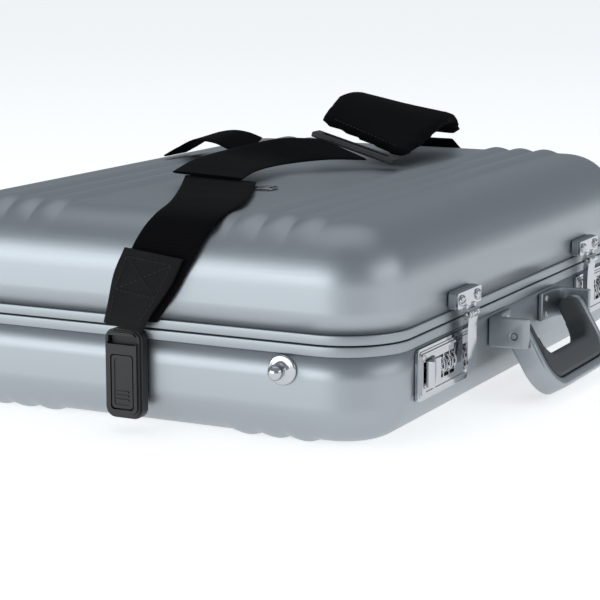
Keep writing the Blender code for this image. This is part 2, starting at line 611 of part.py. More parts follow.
def main():
    clear_scene()
    finish = {
        "shell": material("brushed_shell", (0.58, 0.61, 0.63), 0.36, 1.0),
        "frame": material("satin_frame", (0.64, 0.67, 0.69), 0.30, 1.0),
        "chrome": material("chrome", (0.86, 0.86, 0.87), 0.06, 1.0),
        "steel": material("bright_steel", (0.62, 0.62, 0.63), 0.28, 1.0),
        "rubber": material("gasket_rubber", (0.02, 0.02, 0.02), 0.7, 0.0),
        "lining": material("grey_lining", (0.12, 0.12, 0.13), 0.9, 0.0),
        "grip": material("soft_grip", (0.06, 0.065, 0.07), 0.6, 0.0),
        "plastic": material("matte_plastic", (0.045, 0.048, 0.052), 0.5, 0.0),
        "leather": material("black_leather", (0.016, 0.015, 0.016), 0.5, 0.0),
        "webbing": material("black_webbing", (0.012, 0.011, 0.014), 0.8, 0.0),
        "pad": material("pad_fabric", (0.016, 0.016, 0.018), 0.9, 0.0),
    }
    make_body(finish)
    make_hinges(finish)
    make_latch(-1, "left", finish)
    make_latch(1, "right", finish)
    make_handle(finish)
    make_studs(finish)
    make_stay(finish)
    make_strap(finish)


main()
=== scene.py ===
"""Looks of the aluminium attache case: fine shells, chrome latches, handle and shoulder strap.

Shapes are worked out in millimetres in the frame's own axes; make() turns them into metres.
"""

import json
import math

import bmesh
import bpy
from mathutils import Matrix, Vector


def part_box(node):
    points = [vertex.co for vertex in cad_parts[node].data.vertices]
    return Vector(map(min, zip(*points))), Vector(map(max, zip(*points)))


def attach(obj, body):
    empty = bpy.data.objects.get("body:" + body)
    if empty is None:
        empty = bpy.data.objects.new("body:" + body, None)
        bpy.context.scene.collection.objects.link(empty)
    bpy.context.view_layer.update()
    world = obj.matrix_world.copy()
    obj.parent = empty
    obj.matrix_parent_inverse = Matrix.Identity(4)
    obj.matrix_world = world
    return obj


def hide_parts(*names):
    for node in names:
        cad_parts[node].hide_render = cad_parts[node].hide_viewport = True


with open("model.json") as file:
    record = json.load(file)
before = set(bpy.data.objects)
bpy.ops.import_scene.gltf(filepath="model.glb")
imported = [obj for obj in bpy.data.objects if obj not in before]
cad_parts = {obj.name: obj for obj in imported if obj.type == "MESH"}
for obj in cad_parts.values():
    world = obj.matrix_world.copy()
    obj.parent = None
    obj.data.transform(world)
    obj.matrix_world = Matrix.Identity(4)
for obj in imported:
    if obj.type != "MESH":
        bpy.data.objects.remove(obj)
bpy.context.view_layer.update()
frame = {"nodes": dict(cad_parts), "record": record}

MM = 0.001
UP = Vector((0, 0, 1))
FORWARD = (0, -1, 0)  # out of the case's front
SIDES = ((-1, "left"), (1, "right"))


def cad(node):
    """A CAD node's lowest and highest corners in millimetres."""
    low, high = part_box(node)
    return Vector(low) / MM, Vector(high) / MM


LID_LOW, LID_HIGH = cad("lid_shell")
BASE_LOW, BASE_HIGH = cad("base_shell")
HALF_L, HALF_D = LID_HIGH.x, LID_HIGH.y
RIB_HEIGHT = 2.5
LID_TOP = LID_HIGH.z - RIB_HEIGHT
BASE_BOTTOM = BASE_LOW.z + RIB_HEIGHT
CORNER_R, LID_EDGE_R, BASE_EDGE_R, SKIN = 42.0, 36.0, 25.0, 1.2
RIB_Y, RIB_HALF, RIB_RISE = (70.0, 89.0, 108.0), 9.3, 2.4
EDGE_SHARE = 0.1  # how much of a strap's half width its rounded edge takes
RIB_MARGIN = 11  # how far past the outer ribs the shell's mesh stays fine
WALL = -HALF_D


# ---------------------------------------------------------------- camera, floor and light


CAMERA_PLACE = (-1.2435, -0.624, 0.2985)
CAMERA_LOOK = (0.8785, 0.4413, -0.183)
CAMERA_LENS, SENSOR_WIDTH = 120.9, 36.0
FLOOR_HALF = 14.0
FLOOR_GAP = 0.0003  # metres between the floor and the lowest point of the base


def make_camera():
    data = bpy.data.cameras.new("camera")
    data.sensor_width = SENSOR_WIDTH
    data.lens = CAMERA_LENS
    data.clip_end = 20
    camera = bpy.data.objects.new("camera", data)
    forward = Vector(CAMERA_LOOK).normalized()
    right = forward.cross(UP).normalized()
    up = right.cross(forward)
    turn = Matrix((right, up, -forward)).transposed().to_4x4()
    camera.matrix_world = Matrix.Translation(CAMERA_PLACE) @ turn
    bpy.context.collection.objects.link(camera)
    bpy.context.scene.camera = camera


def area_light(name, place, target, size, power, colour=(1, 1, 1)):
    data = bpy.data.lights.new(name, "AREA")
    data.shape = "RECTANGLE"
    data.size, data.size_y = size
    data.energy = power
    data.color = colour
    light = bpy.data.objects.new(name, data)
    light.location = place
    light.rotation_euler = (Vector(target) - Vector(place)).to_track_quat("-Z", "Y").to_euler()
    bpy.context.collection.objects.link(light)


def make_studio():
    world = bpy.data.worlds.new("studio")
    world.use_nodes = True
    sky = world.node_tree.nodes["Background"].inputs
    sky["Color"].default_value = (0.80, 0.88, 0.95, 1)
    sky["Strength"].default_value = 0.38
    bpy.context.scene.world = world
    bpy.context.scene.view_settings.view_transform = "Standard"
    area_light("left_softbox", (-1.75, 0.75, 0.42), (-0.2, 0, 0.04), (2.4, 0.84), 15, (0.95, 0.98, 1.0))
    area_light("front_softbox", (0.2, -2.4, 0.8), (0, 0, 0.05), (2.4, 1.0), 9)
    area_light("top_softbox", (0.3, 0.2, 2.6), (0, 0, 0), (3.0, 2.6), 10)
    make_floor()


def make_floor():
    """A pale floor that glows a little, so that it washes out to white behind the case."""
    mesh = bmesh.new()
    bmesh.ops.create_grid(mesh, x_segments=1, y_segments=1, size=FLOOR_HALF)
    data = bpy.data.meshes.new("floor")
    mesh.to_mesh(data)
    mesh.free()
    floor = bpy.data.objects.new("floor", data)
    floor.location.z = BASE_LOW.z * MM - FLOOR_GAP
    bpy.context.collection.objects.link(floor)
    paint = bpy.data.materials.new("floor_paint")
    paint.use_nodes = True
    sockets = paint.node_tree.nodes["Principled BSDF"].inputs
    sockets["Base Color"].default_value = (0.93, 0.93, 0.93, 1)
    sockets["Roughness"].default_value = 0.9
    sockets["Emission Color"].default_value = (1, 1, 1, 1)
    sockets["Emission Strength"].default_value = 0.58
    data.materials.append(paint)


# ---------------------------------------------------------------- materials


CLOTH_SHEEN = 0.01


class Finish:
    """A Principled material with short calls for the nodes that drive it."""

    def __init__(self, name, colour, roughness, metallic=0.0):
        self.material = bpy.data.materials.new(name)
        self.material.use_nodes = True
        self.nodes = self.material.node_tree.nodes
        self.links = self.material.node_tree.links
        self.shader = self.nodes["Principled BSDF"]
        self.colour = colour
        self.set("Base Color", (*colour, 1))
        self.set("Roughness", roughness)
        self.set("Metallic", metallic)
        self.place = self.add("ShaderNodeTexCoord").outputs["Object"]

    def set(self, socket, value):
        self.shader.inputs[socket].default_value = value

    def add(self, kind, **settings):
        node = self.nodes.new(kind)
        for key, value in settings.items():
            setattr(node, key, value)
        return node

    def link(self, a, b):
        self.links.new(a, b)

    def scaled(self, scale):
        """The place on the piece, in metres, times a scale for each axis."""
        mapping = self.add("ShaderNodeMapping")
        mapping.inputs["Scale"].default_value = scale
        self.link(self.place, mapping.inputs["Vector"])
        return mapping.outputs["Vector"]

    def noise(self, scale, detail=3.0, rough=0.5):
        node = self.add("ShaderNodeTexNoise")
        node.inputs["Scale"].default_value = 1.0
        node.inputs["Detail"].default_value = detail
        node.inputs["Roughness"].default_value = rough
        self.link(self.scaled(scale), node.inputs["Vector"])
        return node.outputs["Fac"]

    def math(self, operation, a, b=0.5):
        node = self.add("ShaderNodeMath", operation=operation)
        for socket, value in zip(node.inputs, (a, b)):
            if isinstance(value, (int, float)):
                socket.default_value = value
            else:
                self.link(value, socket)
        return node.outputs[0]

    def spread(self, value, low, high, out_low, out_high):
        node = self.add("ShaderNodeMapRange")
        self.link(value, node.inputs["Value"])
        ends = {"From Min": low, "From Max": high, "To Min": out_low, "To Max": out_high}
        for socket, number in ends.items():
            node.inputs[socket].default_value = number
        return node.outputs["Result"]

    def mix(self, factor, a, b):
        node = self.add("ShaderNodeMix", data_type="RGBA")
        for socket, value in ((node.inputs[0], factor), (node.inputs[6], a), (node.inputs[7], b)):
            if isinstance(value, (int, float, tuple)):
                socket.default_value = value
            else:
                self.link(value, socket)
        return node.outputs[2]

    def tint(self, factor, dark, light):
        """The base colour, between two brightnesses of itself."""
        ends = [tuple(min(c * k, 1) for c in self.colour) + (1,) for k in (dark, light)]
        self.link(self.mix(factor, *ends), self.shader.inputs["Base Color"])

    def roughen(self, value, low, high, smooth, rough):
        self.link(self.spread(value, low, high, smooth, rough), self.shader.inputs["Roughness"])

    def bump(self, height, strength, distance, onto=None):
        node = self.add("ShaderNodeBump")
        node.inputs["Strength"].default_value = strength
        node.inputs["Distance"].default_value = distance
        self.link(height, node.inputs["Height"])
        if onto:
            self.link(onto, node.inputs["Normal"])
        self.link(node.outputs["Normal"], self.shader.inputs["Normal"])
        return node.outputs["Normal"]


def brushed_metal(name, colour, roughness, depth=0.00004):
    """Satin metal brushed level: streaks run round the walls and along X on the flat faces."""
    look = Finish(name, colour, roughness, 1.0)
    wall = look.noise((14, 14, 2600), detail=4, rough=0.65)
    flat = look.noise((14, 2600, 14), detail=4, rough=0.65)
    normal = look.add("ShaderNodeSeparateXYZ")
    look.link(look.add("ShaderNodeNewGeometry").outputs["Normal"], normal.inputs[0])
    level = look.spread(look.math("ABSOLUTE", normal.outputs["Z"]), 0.55, 0.85, 0, 1)
    blend = look.add("ShaderNodeMix", data_type="FLOAT")
    look.link(level, blend.inputs[0])
    look.link(wall, blend.inputs[2])
    look.link(flat, blend.inputs[3])
    streak = blend.outputs[0]
    clouds = look.noise((6, 6, 6), detail=2)
    mixed = look.math("ADD", look.math("MULTIPLY", streak, 0.7), look.math("MULTIPLY", clouds, 0.3))
    look.tint(mixed, 0.93, 1.06)
    look.roughen(streak, 0.25, 0.75, roughness - 0.05, roughness + 0.07)
    look.bump(streak, 0.35, depth)
    return look.material


def chrome_metal(name):
    """Polished chrome with faint hairlines and a little haze."""
    look = Finish(name, (0.52, 0.53, 0.55), 0.07, 1.0)
    hair = look.noise((900, 60, 60), detail=3)
    haze = look.noise((30, 30, 30), detail=4)
    look.tint(haze, 0.94, 1.05)
    look.roughen(haze, 0.3, 0.7, 0.045, 0.12)
    look.bump(hair, 0.05, 0.00002)
    return look.material


def moulded(name, colour, roughness, grain=900.0, depth=0.00006):
    """Moulded plastic or rubber with a fine spark-eroded grain and worn patches."""
    look = Finish(name, colour, roughness)
    speck = look.noise((grain, grain, grain), detail=2)
    patch = look.noise((25, 25, 25), detail=4)
    look.tint(patch, 0.75, 1.3)
    look.roughen(patch, 0.3, 0.7, roughness - 0.08, roughness + 0.08)
    look.bump(speck, 0.5, depth)
    return look.material


def leather_hide(name):
    look = Finish(name, (0.0035, 0.0032, 0.0036), 0.5)
    look.set("Specular IOR Level", 0.14)
    cells = look.add("ShaderNodeTexVoronoi", feature="DISTANCE_TO_EDGE")
    look.link(look.scaled((850, 850, 850)), cells.inputs["Vector"])
    crease = look.spread(cells.outputs["Distance"], 0.0, 0.14, 0, 1)
    wrinkle = look.noise((60, 60, 60), detail=5)
    # Painted shade: the grain's creases are tinted darker than the cells between them, times a random wrinkle
    # tone.
    look.tint(look.math("MULTIPLY", crease, wrinkle), 0.7, 2.0)
    look.roughen(wrinkle, 0.3, 0.7, 0.34, 0.56)
    first = look.bump(wrinkle, 0.35, 0.0005)
    look.bump(crease, 0.5, 0.00012, first)
    return look.material


def woven(name, colour, along, across):
    """Webbing or cloth: the weave follows the UV map, which is in metres along and across the piece."""
    look = Finish(name, colour, 0.82)
    look.set("Specular IOR Level", 0.06)
    look.set("Sheen Weight", CLOTH_SHEEN)
    look.set("Sheen Roughness", 0.5)
    uv = look.add("ShaderNodeUVMap").outputs["UV"]
    split = look.add("ShaderNodeSeparateXYZ")
    look.link(uv, split.inputs[0])
    rows = look.math("SINE", look.math("MULTIPLY", split.outputs["Y"], 2 * math.pi * along), 0)
    yarns = look.math("SINE", look.math("MULTIPLY", split.outputs["X"], 2 * math.pi * across), 0)
    weave = look.math("ADD", look.math("MULTIPLY", rows, yarns), look.math("MULTIPLY", rows, 0.6))
    fuzz = look.noise((700, 700, 700), detail=3)
    height = look.spread(look.math("ADD", weave, fuzz), -1.2, 2.2, 0, 1)
    # Painted highlight and shade: the weave's raised yarns are tinted lighter and its hollows darker, with a
    # random fuzz tone mixed in.
    look.tint(height, 0.55, 1.9)
    look.bump(height, 0.7, 0.00018)
    return look.material


def felted(name, colour, grain=420.0):
    """Short-pile or closely woven cloth without a direction of its own."""
    look = Finish(name, colour, 0.92)
    look.set("Specular IOR Level", 0.06)
    look.set("Sheen Weight", CLOTH_SHEEN)
    look.set("Sheen Roughness", 0.55)
    pile = look.noise((grain, grain, grain), detail=4, rough=0.7)
    patch = look.noise((30, 30, 30), detail=4)
    look.tint(look.math("ADD", look.math("MULTIPLY", pile, 0.6), look.math("MULTIPLY", patch, 0.4)), 0.5, 1.6)
    look.bump(pile, 0.6, 0.0003)
    return look.material


# ---------------------------------------------------------------- mesh tools


def smooth_data(name, mesh, material):
    """A bmesh in millimetres as smooth mesh data in metres."""
    bmesh.ops.recalc_face_normals(mesh, faces=mesh.faces)
    bmesh.ops.scale(mesh, verts=mesh.verts, vec=(MM, MM, MM))
    data = bpy.data.meshes.new(name)
    mesh.to_mesh(data)
    mesh.free()
    data.materials.append(material)
    data.shade_smooth()
    return data


def make(name, mesh, material, body=None, node=None, sharp=35):
    """Turns a bmesh in millimetres into a piece, which is settled at once if its body is given."""
    data = smooth_data(name, mesh, material)
    data.set_sharp_from_angle(angle=math.radians(sharp))
    piece = bpy.data.objects.new(name, data)
    bpy.context.collection.objects.link(piece)
    if body:
        settle(piece, body, node)
    return piece


def settle(piece, body, node=None):
    """Makes a piece ride on a body, and take the place of a CAD node, which it hides."""
    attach(piece, body)
    if node:
        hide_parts(node)


def soften(piece, width, segments=2, limit=40):
    """Rounds every edge that is sharper than the limit."""
    rounding = piece.modifiers.new("rounding", "BEVEL")
    rounding.width = width * MM
    rounding.segments = segments
    rounding.limit_method = "ANGLE"
    rounding.angle_limit = math.radians(limit)
    rounding.harden_normals = True


def apply_modifiers(piece):
    graph = bpy.context.evaluated_depsgraph_get()
    data = bpy.data.meshes.new_from_object(piece.evaluated_get(graph))
    piece.modifiers.clear()
    piece.data = data


def combine(piece, mesh, operation):
    """Cuts a shape from a piece, or joins it on, for good."""
    tool = bpy.data.objects.new("tool", smooth_data("tool", mesh, piece.data.materials[0]))
    bpy.context.collection.objects.link(tool)
    modifier = piece.modifiers.new("combine", "BOOLEAN")
    modifier.operation = operation
    modifier.object = tool
    apply_modifiers(piece)
    bpy.data.objects.remove(tool, do_unlink=True)


def cut(piece, mesh):
    combine(piece, mesh, "DIFFERENCE")


def join(piece, mesh):
    combine(piece, mesh, "UNION")


def loft(rings, closed=False, mesh=None, uv=None):
    """Joins rings of equal size with quads, capping the ends or closing into a ring."""
    mesh = mesh or bmesh.new()
    rows = [[mesh.verts.new(point) for point in ring] for ring in rings]
    layer = mesh.loops.layers.uv.verify() if uv else None
    count = len(rows[0])
    pairs = [(i, i + 1) for i in range(len(rows) - 1)] + ([(len(rows) - 1, 0)] if closed else [])
    for a, b in pairs:
        for i in range(count):
            j = (i + 1) % count
            face = mesh.faces.new((rows[a][i], rows[a][j], rows[b][j], rows[b][i]))
            if uv:
                for loop, (row, column) in zip(face.loops, ((a, i), (a, j), (b, j), (b, i))):
                    loop[layer].uv = uv[row][column]
    if not closed:
        mesh.faces.new(rows[0][::-1])
        mesh.faces.new(rows[-1])
    return mesh


def prism(outline, low, high, axis="z"):
    """Extrudes an outline; its two numbers are (x, y) for z, (x, z) for y and (y, z) for x."""
    place = {
        "x": lambda a, b, c: (c, a, b),
        "y": lambda a, b, c: (a, c, b),
        "z": lambda a, b, c: (a, b, c),
    }[axis]
    return loft([[place(a, b, c) for a, b in outline] for c in (low, high)])


def box(low, high):
    outline = [(low[0], low[1]), (high[0], low[1]), (high[0], high[1]), (low[0], high[1])]
    return prism(outline, low[2], high[2])


def rounded(low, high, radius, steps=8):
    """The outline of a rectangle with round corners."""
    points = []
    corners = ((high[0], high[1]), (low[0], high[1]), (low[0], low[1]), (high[0], low[1]))
    for quarter, (a, b) in enumerate(corners):
        centre_a = a - radius if quarter in (0, 3) else a + radius
        centre_b = b - radius if quarter in (0, 1) else b + radius
        for step in range(steps + 1):
            angle = math.pi / 2 * (quarter + step / steps)
            points.append((centre_a + radius * math.cos(angle), centre_b + radius * math.sin(angle)))
    return points


def basis(axis):
    """An axis at unit length, and two directions square to it."""
    axis = Vector(axis).normalized()
    first = axis.cross(UP if abs(axis.z) < 0.9 else Vector((1, 0, 0))).normalized()
    return axis, first, axis.cross(first)


def turned(profile, centre, axis, steps=40):
    """Turns (distance along, radius) points about an axis through the centre."""
    axis, first, second = basis(axis)
    rings = []
    for along, radius in profile:
        rings.append([Vector(centre) + axis * along + radius * (first * math.cos(t) + second * math.sin(t))
                      for t in (2 * math.pi * i / steps for i in range(steps))])
    return loft(rings)


def rod(centre, axis, radius, length, steps=32, chamfer=0.3):
    end_radius = radius - chamfer
    profile = [(0, end_radius), (chamfer, radius), (length - chamfer, radius), (length, end_radius)]
    return turned(profile, centre, axis, steps)


def smooth_path(points, per_span=16):
    """A Catmull-Rom curve through the points."""
    knots = [Vector(p) for p in points]
    knots = [2 * knots[0] - knots[1]] + knots + [2 * knots[-1] - knots[-2]]
    path = []
    for a, b, c, d in zip(knots, knots[1:], knots[2:], knots[3:]):
        for step in range(per_span):
            t = step / per_span
            curve = 2 * b + (c - a) * t + (2 * a - 5 * b + 4 * c - d) * t**2
            path.append((curve + (3 * b - a - 3 * c + d) * t**3) / 2)
    path.append(knots[-2])
    return path


def even_path(points, halves, step):
    """The smooth curve through the stations again, with a station about every step."""
    fine, fine_halves = smooth_path(points), smooth_path(halves)
    along = [0.0]
    for a, b in zip(fine, fine[1:]):
        along.append(along[-1] + (b - a).length)
    count = max(2, round(along[-1] / step))
    out, out_halves, at = [], [], 0
    for i in range(count + 1):
        target = along[-1] * i / count
        while at < len(along) - 2 and along[at + 1] < target:
            at += 1
        share = (target - along[at]) / max(along[at + 1] - along[at], 1e-9)
        out.append(fine[at].lerp(fine[at + 1], share))
        out_halves.append(fine_halves[at].lerp(fine_halves[at + 1], share))
    return out, out_halves, along[-1]


def band(stations, thickness, step=0.8, across=10, height=None):
    """A flat strap along stations of (centre, half-width vector), with rounded edges.

    height(along, share) is how far the surface stands proud, at a share of the half width.
    """
    centres, halves, length = even_path(*zip(*stations), step)
    spans = [math.cos(math.pi * i / (across + 1)) for i in range(across + 2)]
    rings, uv, travelled = [], [], 0.0
    for i, (centre, half) in enumerate(zip(centres, halves)):
        if i:
            travelled += (centre - centres[i - 1]).length
        ahead = centres[min(i + 1, len(centres) - 1)] - centres[max(i - 1, 0)]
        normal = ahead.cross(half).normalized()
        ring, row = [], []
        for face in (1, -1):
            for share in spans if face > 0 else spans[::-1]:
                rim = min(1.0, max(0.0, 1 - abs(share)) / EDGE_SHARE)
                fullness = 0.35 + 0.65 * math.sqrt(rim)
                proud = height(travelled, share) if height else 0.0
                ring.append(centre + half * share + normal * face * (thickness / 2 * fullness + proud))
                row.append(((share * half.length + 50) * MM, travelled * MM))
        rings.append(ring)
        uv.append(row)
    return loft(rings, uv=uv), length


# ---------------------------------------------------------------- case shells


def outline_ring(inset, z, long_cuts, short_cuts, corner_steps=14):
    """The case's outline at a height, with set cuts along each side."""
    radius = max(CORNER_R - inset, 0.0)
    flat_x, flat_y = HALF_L - CORNER_R, HALF_D - CORNER_R
    reach_x, reach_y = flat_x + radius, flat_y + radius
    points = []

    def corner(sign_x, sign_y, start):
        for step in range(1, corner_steps):
            angle = start + math.pi / 2 * step / corner_steps
            points.append(Vector((sign_x * flat_x + radius * math.cos(angle),
                                  sign_y * flat_y + radius * math.sin(angle), z)))

    points += [Vector((reach_x, y, z)) for y in short_cuts]
    corner(1, 1, 0)
    points += [Vector((x, reach_y, z)) for x in long_cuts[::-1]]
    corner(-1, 1, math.pi / 2)
    points += [Vector((-reach_x, y, z)) for y in short_cuts[::-1]]
    corner(-1, -1, math.pi)
    points += [Vector((x, -reach_y, z)) for x in long_cuts]
    corner(1, -1, 1.5 * math.pi)
    return points


def side_cuts():
    """Where the shell's mesh is cut along its sides: finely across the ribs, coarsely elsewhere."""
    flat_x, flat_y = HALF_L - CORNER_R, HALF_D - CORNER_R
    long_count, rib_count, middle_count = 30, 58, 16
    long_cuts = [flat_x * (2 * i / long_count - 1) for i in range(long_count + 1)]
    first, last = RIB_Y[0] - RIB_MARGIN, RIB_Y[-1] + RIB_MARGIN
    fine = [first + (last - first) * i / rib_count for i in range(rib_count + 1)]
    middle = [first * (2 * i / middle_count - 1) for i in range(1, middle_count)]
    short_cuts = [-flat_y] + [-y for y in fine[::-1]] + middle + fine + [flat_y]
    return long_cuts, short_cuts


def rib_height(y):
    """How far the pressed ribs stand proud at a distance from the middle."""
    best = 0.0
    for centre in RIB_Y:
        off = abs(abs(y) - centre) / RIB_HALF
        if off < 1:
            best = max(best, RIB_RISE * (0.5 + 0.5 * math.cos(math.pi * off)) ** 0.5)
    return best


def rib_fade(turn):
    """Ribs run full over the flat and fade out part of the way down the end walls."""
    start, end = 0.0, math.radians(60)
    share = min(max((turn - start) / (end - start), 0), 1)
    return 1 - share * share * (3 - 2 * share)


def shell_levels(rim, end, edge_r, steps=22):
    """The shell's rings from its rim to its flat panel, as (inset, z, turn of the surface from level)."""
    sign = 1 if end > rim else -1
    upright = math.pi / 2
    levels = [(0.0, rim, upright), (0.0, (rim + end - sign * edge_r) / 2, upright)]
    for step in range(steps + 1):
        angle = upright * step / steps
        inset, rise = edge_r * (1 - math.cos(angle)), edge_r * (1 - math.sin(angle))
        levels.append((inset, end - sign * rise, upright - angle))
    return levels + [(CORNER_R - 0.02, end, 0.0)]


def shell_mesh(rim, end, edge_r):
    """One pressed half, outer skin only: wall, edge radius, ribs and flat panel."""
    sign = 1 if end > rim else -1
    long_cuts, short_cuts = side_cuts()
    rings = []
    for inset, z, turn in shell_levels(rim, end, edge_r):
        ring = []
        for point in outline_ring(inset, z, long_cuts, short_cuts):
            lift = rib_height(point.y) * rib_fade(turn)
            if abs(point.y) <= short_cuts[-1] + 0.01 and abs(point.x) > HALF_L - CORNER_R - 0.01:
                out = Vector((math.copysign(math.sin(turn), point.x), 0, sign * math.cos(turn)))
                point = point + out * lift
            ring.append(point)
        rings.append(ring)
    mesh = bmesh.new()
    rows = [[mesh.verts.new(p) for p in ring] for ring in rings]
    count = len(rows[0])
    for low, high in zip(rows, rows[1:]):
        for i in range(count):
            j = (i + 1) % count
            mesh.faces.new((low[i], low[j], high[j], high[i]))
    grid = []
    for y in short_cuts:
        z = end + sign * rib_height(y)
        grid.append([mesh.verts.new((x * (1 - 1e-5), y, z)) for x in long_cuts])
    for a, b in zip(grid, grid[1:]):
        for i in range(len(long_cuts) - 1):
            mesh.faces.new((a[i], a[i + 1], b[i + 1], b[i]))
    bmesh.ops.remove_doubles(mesh, verts=rows[-1] + [v for row in grid for v in row], dist=0.05)
    bmesh.ops.recalc_face_normals(mesh, faces=mesh.faces)
    return mesh


def make_shell(name, node, body, material, rim, end, edge_r):
    """A pressed half with the thickness of its sheet."""
    mesh = shell_mesh(rim, end, edge_r)
    piece = make(name, mesh, material, sharp=60)
    wall = piece.modifiers.new("wall", "SOLIDIFY")
    wall.thickness = SKIN * MM
    wall.offset = -1
    wall.use_even_offset = False
    apply_modifiers(piece)
    settle(piece, body, node)
    return piece


PLAIN_CUTS = ((CORNER_R - HALF_L, HALF_L - CORNER_R), (CORNER_R - HALF_D, HALF_D - CORNER_R))


def ring_mesh(profile):
    """A closed ring round the case, from (inset, z) points of its section."""
    return loft([outline_ring(inset, z, *PLAIN_CUTS, 22) for inset, z in profile], closed=True)


def rounded_band(low, top, proud):
    """Outer face of a frame band's section: softly crowned, with rounded lips."""
    lip, crown = 0.6, 0.06
    points = []
    for step in range(5):
        angle = math.pi / 2 * step / 4
        points.append((-proud + lip * (1 - math.sin(angle)), low + lip * (1 - math.cos(angle))))
    points.append((-proud - crown, (low + top) / 2))
    for step in range(5):
        angle = math.pi / 2 * step / 4
        points.append((-proud + lip * (1 - math.cos(angle)), top - lip * (1 - math.sin(angle))))
    return points


FRAME_LEG = 7.0  # height of the thin part of a frame, behind the shell's rim
SECTION_INNER = 3.0  # how far in from the wall a frame's section reaches


def make_frames(finish):
    """The two raised frame bands and the gasket between them."""
    low, high = cad("base_frame")
    band_low, band_top = low.z + FRAME_LEG, high.z
    section = rounded_band(band_low, band_top, 1.0)
    section += [(0.6, band_top), (0.6, band_top - 1.5), (SECTION_INNER, band_top - 1.5),
                (SECTION_INNER, low.z), (1.6, low.z), (1.6, band_low)]
    make("base_frame_band", ring_mesh(section), finish["frame"], "base", "base_frame", 30)
    low, high = cad("lid_frame")
    band_low, band_top = low.z, high.z - FRAME_LEG
    section = rounded_band(band_low, band_top, 1.0)
    section += [(1.6, band_top), (1.6, high.z), (SECTION_INNER, high.z), (SECTION_INNER, band_low)]
    make("lid_frame_band", ring_mesh(section), finish["frame"], "lid", "lid_frame", 30)
    low, high = cad("gasket")
    section = [(0.9, low.z), (0.9, high.z - 0.5), (1.2, high.z - 0.1), (1.8, high.z), (2.4, high.z - 0.1),
               (2.7, high.z - 0.5), (2.7, low.z)]
    make("gasket_strip", ring_mesh(section), finish["rubber"], "base", "gasket", 50)


def bowl_mesh(rim, end, inset, edge_r, wall, steps=14):
    """A lining tray with a rolled rim."""
    sign = 1 if end > rim else -1
    sides = []
    for depth in (0.0, wall):
        rings = []
        radius = edge_r - depth
        for step in range(steps + 1):
            angle = math.pi / 2 * step / steps
            rings.append((inset + depth + radius * (1 - math.cos(angle)),
                          end - sign * depth - sign * radius * (1 - math.sin(angle))))
        sides.append(rings)
    half = wall / 2
    turns = [math.pi * i / 6 for i in range(7)]
    roll = [(inset + half * (1 - math.cos(t)), rim + sign * half * (1 - math.sin(t))) for t in turns]
    levels = sides[0][::-1] + roll + sides[1]
    return loft([outline_ring(i, z, *PLAIN_CUTS, 12) for i, z in levels])


LINING_INSET, LINING_WALL = 3.4, 2.0


def make_body(finish):
    """Shells, frames and linings, with the openings for the lock cases."""
    metal, cloth = finish["shell"], finish["lining"]
    base = make_shell("base_skin", "base_shell", "base", metal, BASE_HIGH.z, BASE_BOTTOM, BASE_EDGE_R)
    make_shell("lid_skin", "lid_shell", "lid", metal, LID_LOW.z, LID_TOP, LID_EDGE_R)
    make_frames(finish)
    low, high = cad("base_lining")
    bowl = bowl_mesh(high.z, low.z, LINING_INSET, BASE_EDGE_R - LINING_INSET, LINING_WALL)
    lining = make("base_fabric_lining", bowl, cloth, "base", "base_lining", 60)
    low, high = cad("lid_lining")
    bowl = bowl_mesh(low.z, high.z, LINING_INSET, LID_EDGE_R - LINING_INSET, LINING_WALL)
    make("lid_fabric_lining", bowl, cloth, "lid", "lid_lining", 60)
    for side in ("left", "right"):
        low, high = cad("lock_case_" + side)
        cut(base, box((low.x - 1, WALL - 3, low.z - 1), (high.x + 1, WALL + 3, high.z + 0.5)))
        cut(lining, box((low.x - 1.6, WALL - 3, low.z - 1.6), (high.x + 1.6, WALL + 8, high.z + 0.8)))


# ---------------------------------------------------------------- latches


LOCK_END, LOCK_WIDTH, LOCK_Z = 180.0, 77.5, 37.5
PLATE_LOW_Z, PLATE_HIGH_Z = 21.5, 53.5
PLATE_PROUD = 3.8
DIAL_U, DIAL_W, DIAL_R = (32.5, 41.5, 50.5), 7.0, 7.0
DIAL_AXIS_Y = WALL + 1.8
DIAL_TEETH, DIAL_STEPS = 36, 216
SPINDLE_HOLE_R = 1.35
DIAL_PROFILE = [  # distance along the axis, radius, depth of the milling
    (0.0, 6.5, 0), (0.3, 6.9, 0.3), (1.4, 7.0, 0.4), (1.7, 6.75, 0.1), (1.9, 6.6, 0),
    (5.1, 6.6, 0), (5.3, 6.75, 0.1), (5.6, 7.0, 0.4), (6.7, 6.9, 0.3), (DIAL_W, 6.5, 0),
    (DIAL_W, SPINDLE_HOLE_R, 0), (0.0, SPINDLE_HOLE_R, 0)]
NUMERAL_SIZE, NUMERAL_SUNK = 3.4, 0.22
LOCK_SCREWS = ((6.4, 47.2, 2.5, 0.5), (6.4, 27.8, 2.5, 1.9), (71.2, 27.8, 1.9, 1.0), (71.2, 47.2, 1.9, 0.2))
THUMB_U = 17.0
THUMB_SCOOP = [  # distance along the plate, distance out from the wall
    (8, 4.1), (8, 8.3), (8.3, 9.0), (9.0, 9.3), (9.9, 9.2), (11.2, 8.3), (13, 7.2), (15.4, 6.4), (18.2, 6.0),
    (21.5, 6.0), (24, 6.4), (25.2, 6.5), (26, 6.0), (26, 4.1)]
HASP_U, HASP_PROUD, HASP_Z = 67.0, 8.5, 65.0  # where the hasp's pin is
KNUCKLE_R, PIN_HOLE_R = 3.2, 1.5
CATCH_U = 12.5  # distance of the catch plate's screws from its middle
HASP_PIN = [(0, 0.9), (0.2, 1.15), (0.5, 1.2), (16.4, 1.2), (16.8, 1.15), (17.0, 0.9)]
HASP_KNUCKLE = [  # distance along the pin, radius, with two turned grooves
    (0, 2.9), (0.3, KNUCKLE_R), (2.5, KNUCKLE_R), (2.75, 2.9), (3.0, KNUCKLE_R), (5.6, KNUCKLE_R),
    (5.85, 2.9), (6.1, KNUCKLE_R), (8.3, KNUCKLE_R), (8.6, 2.9)]
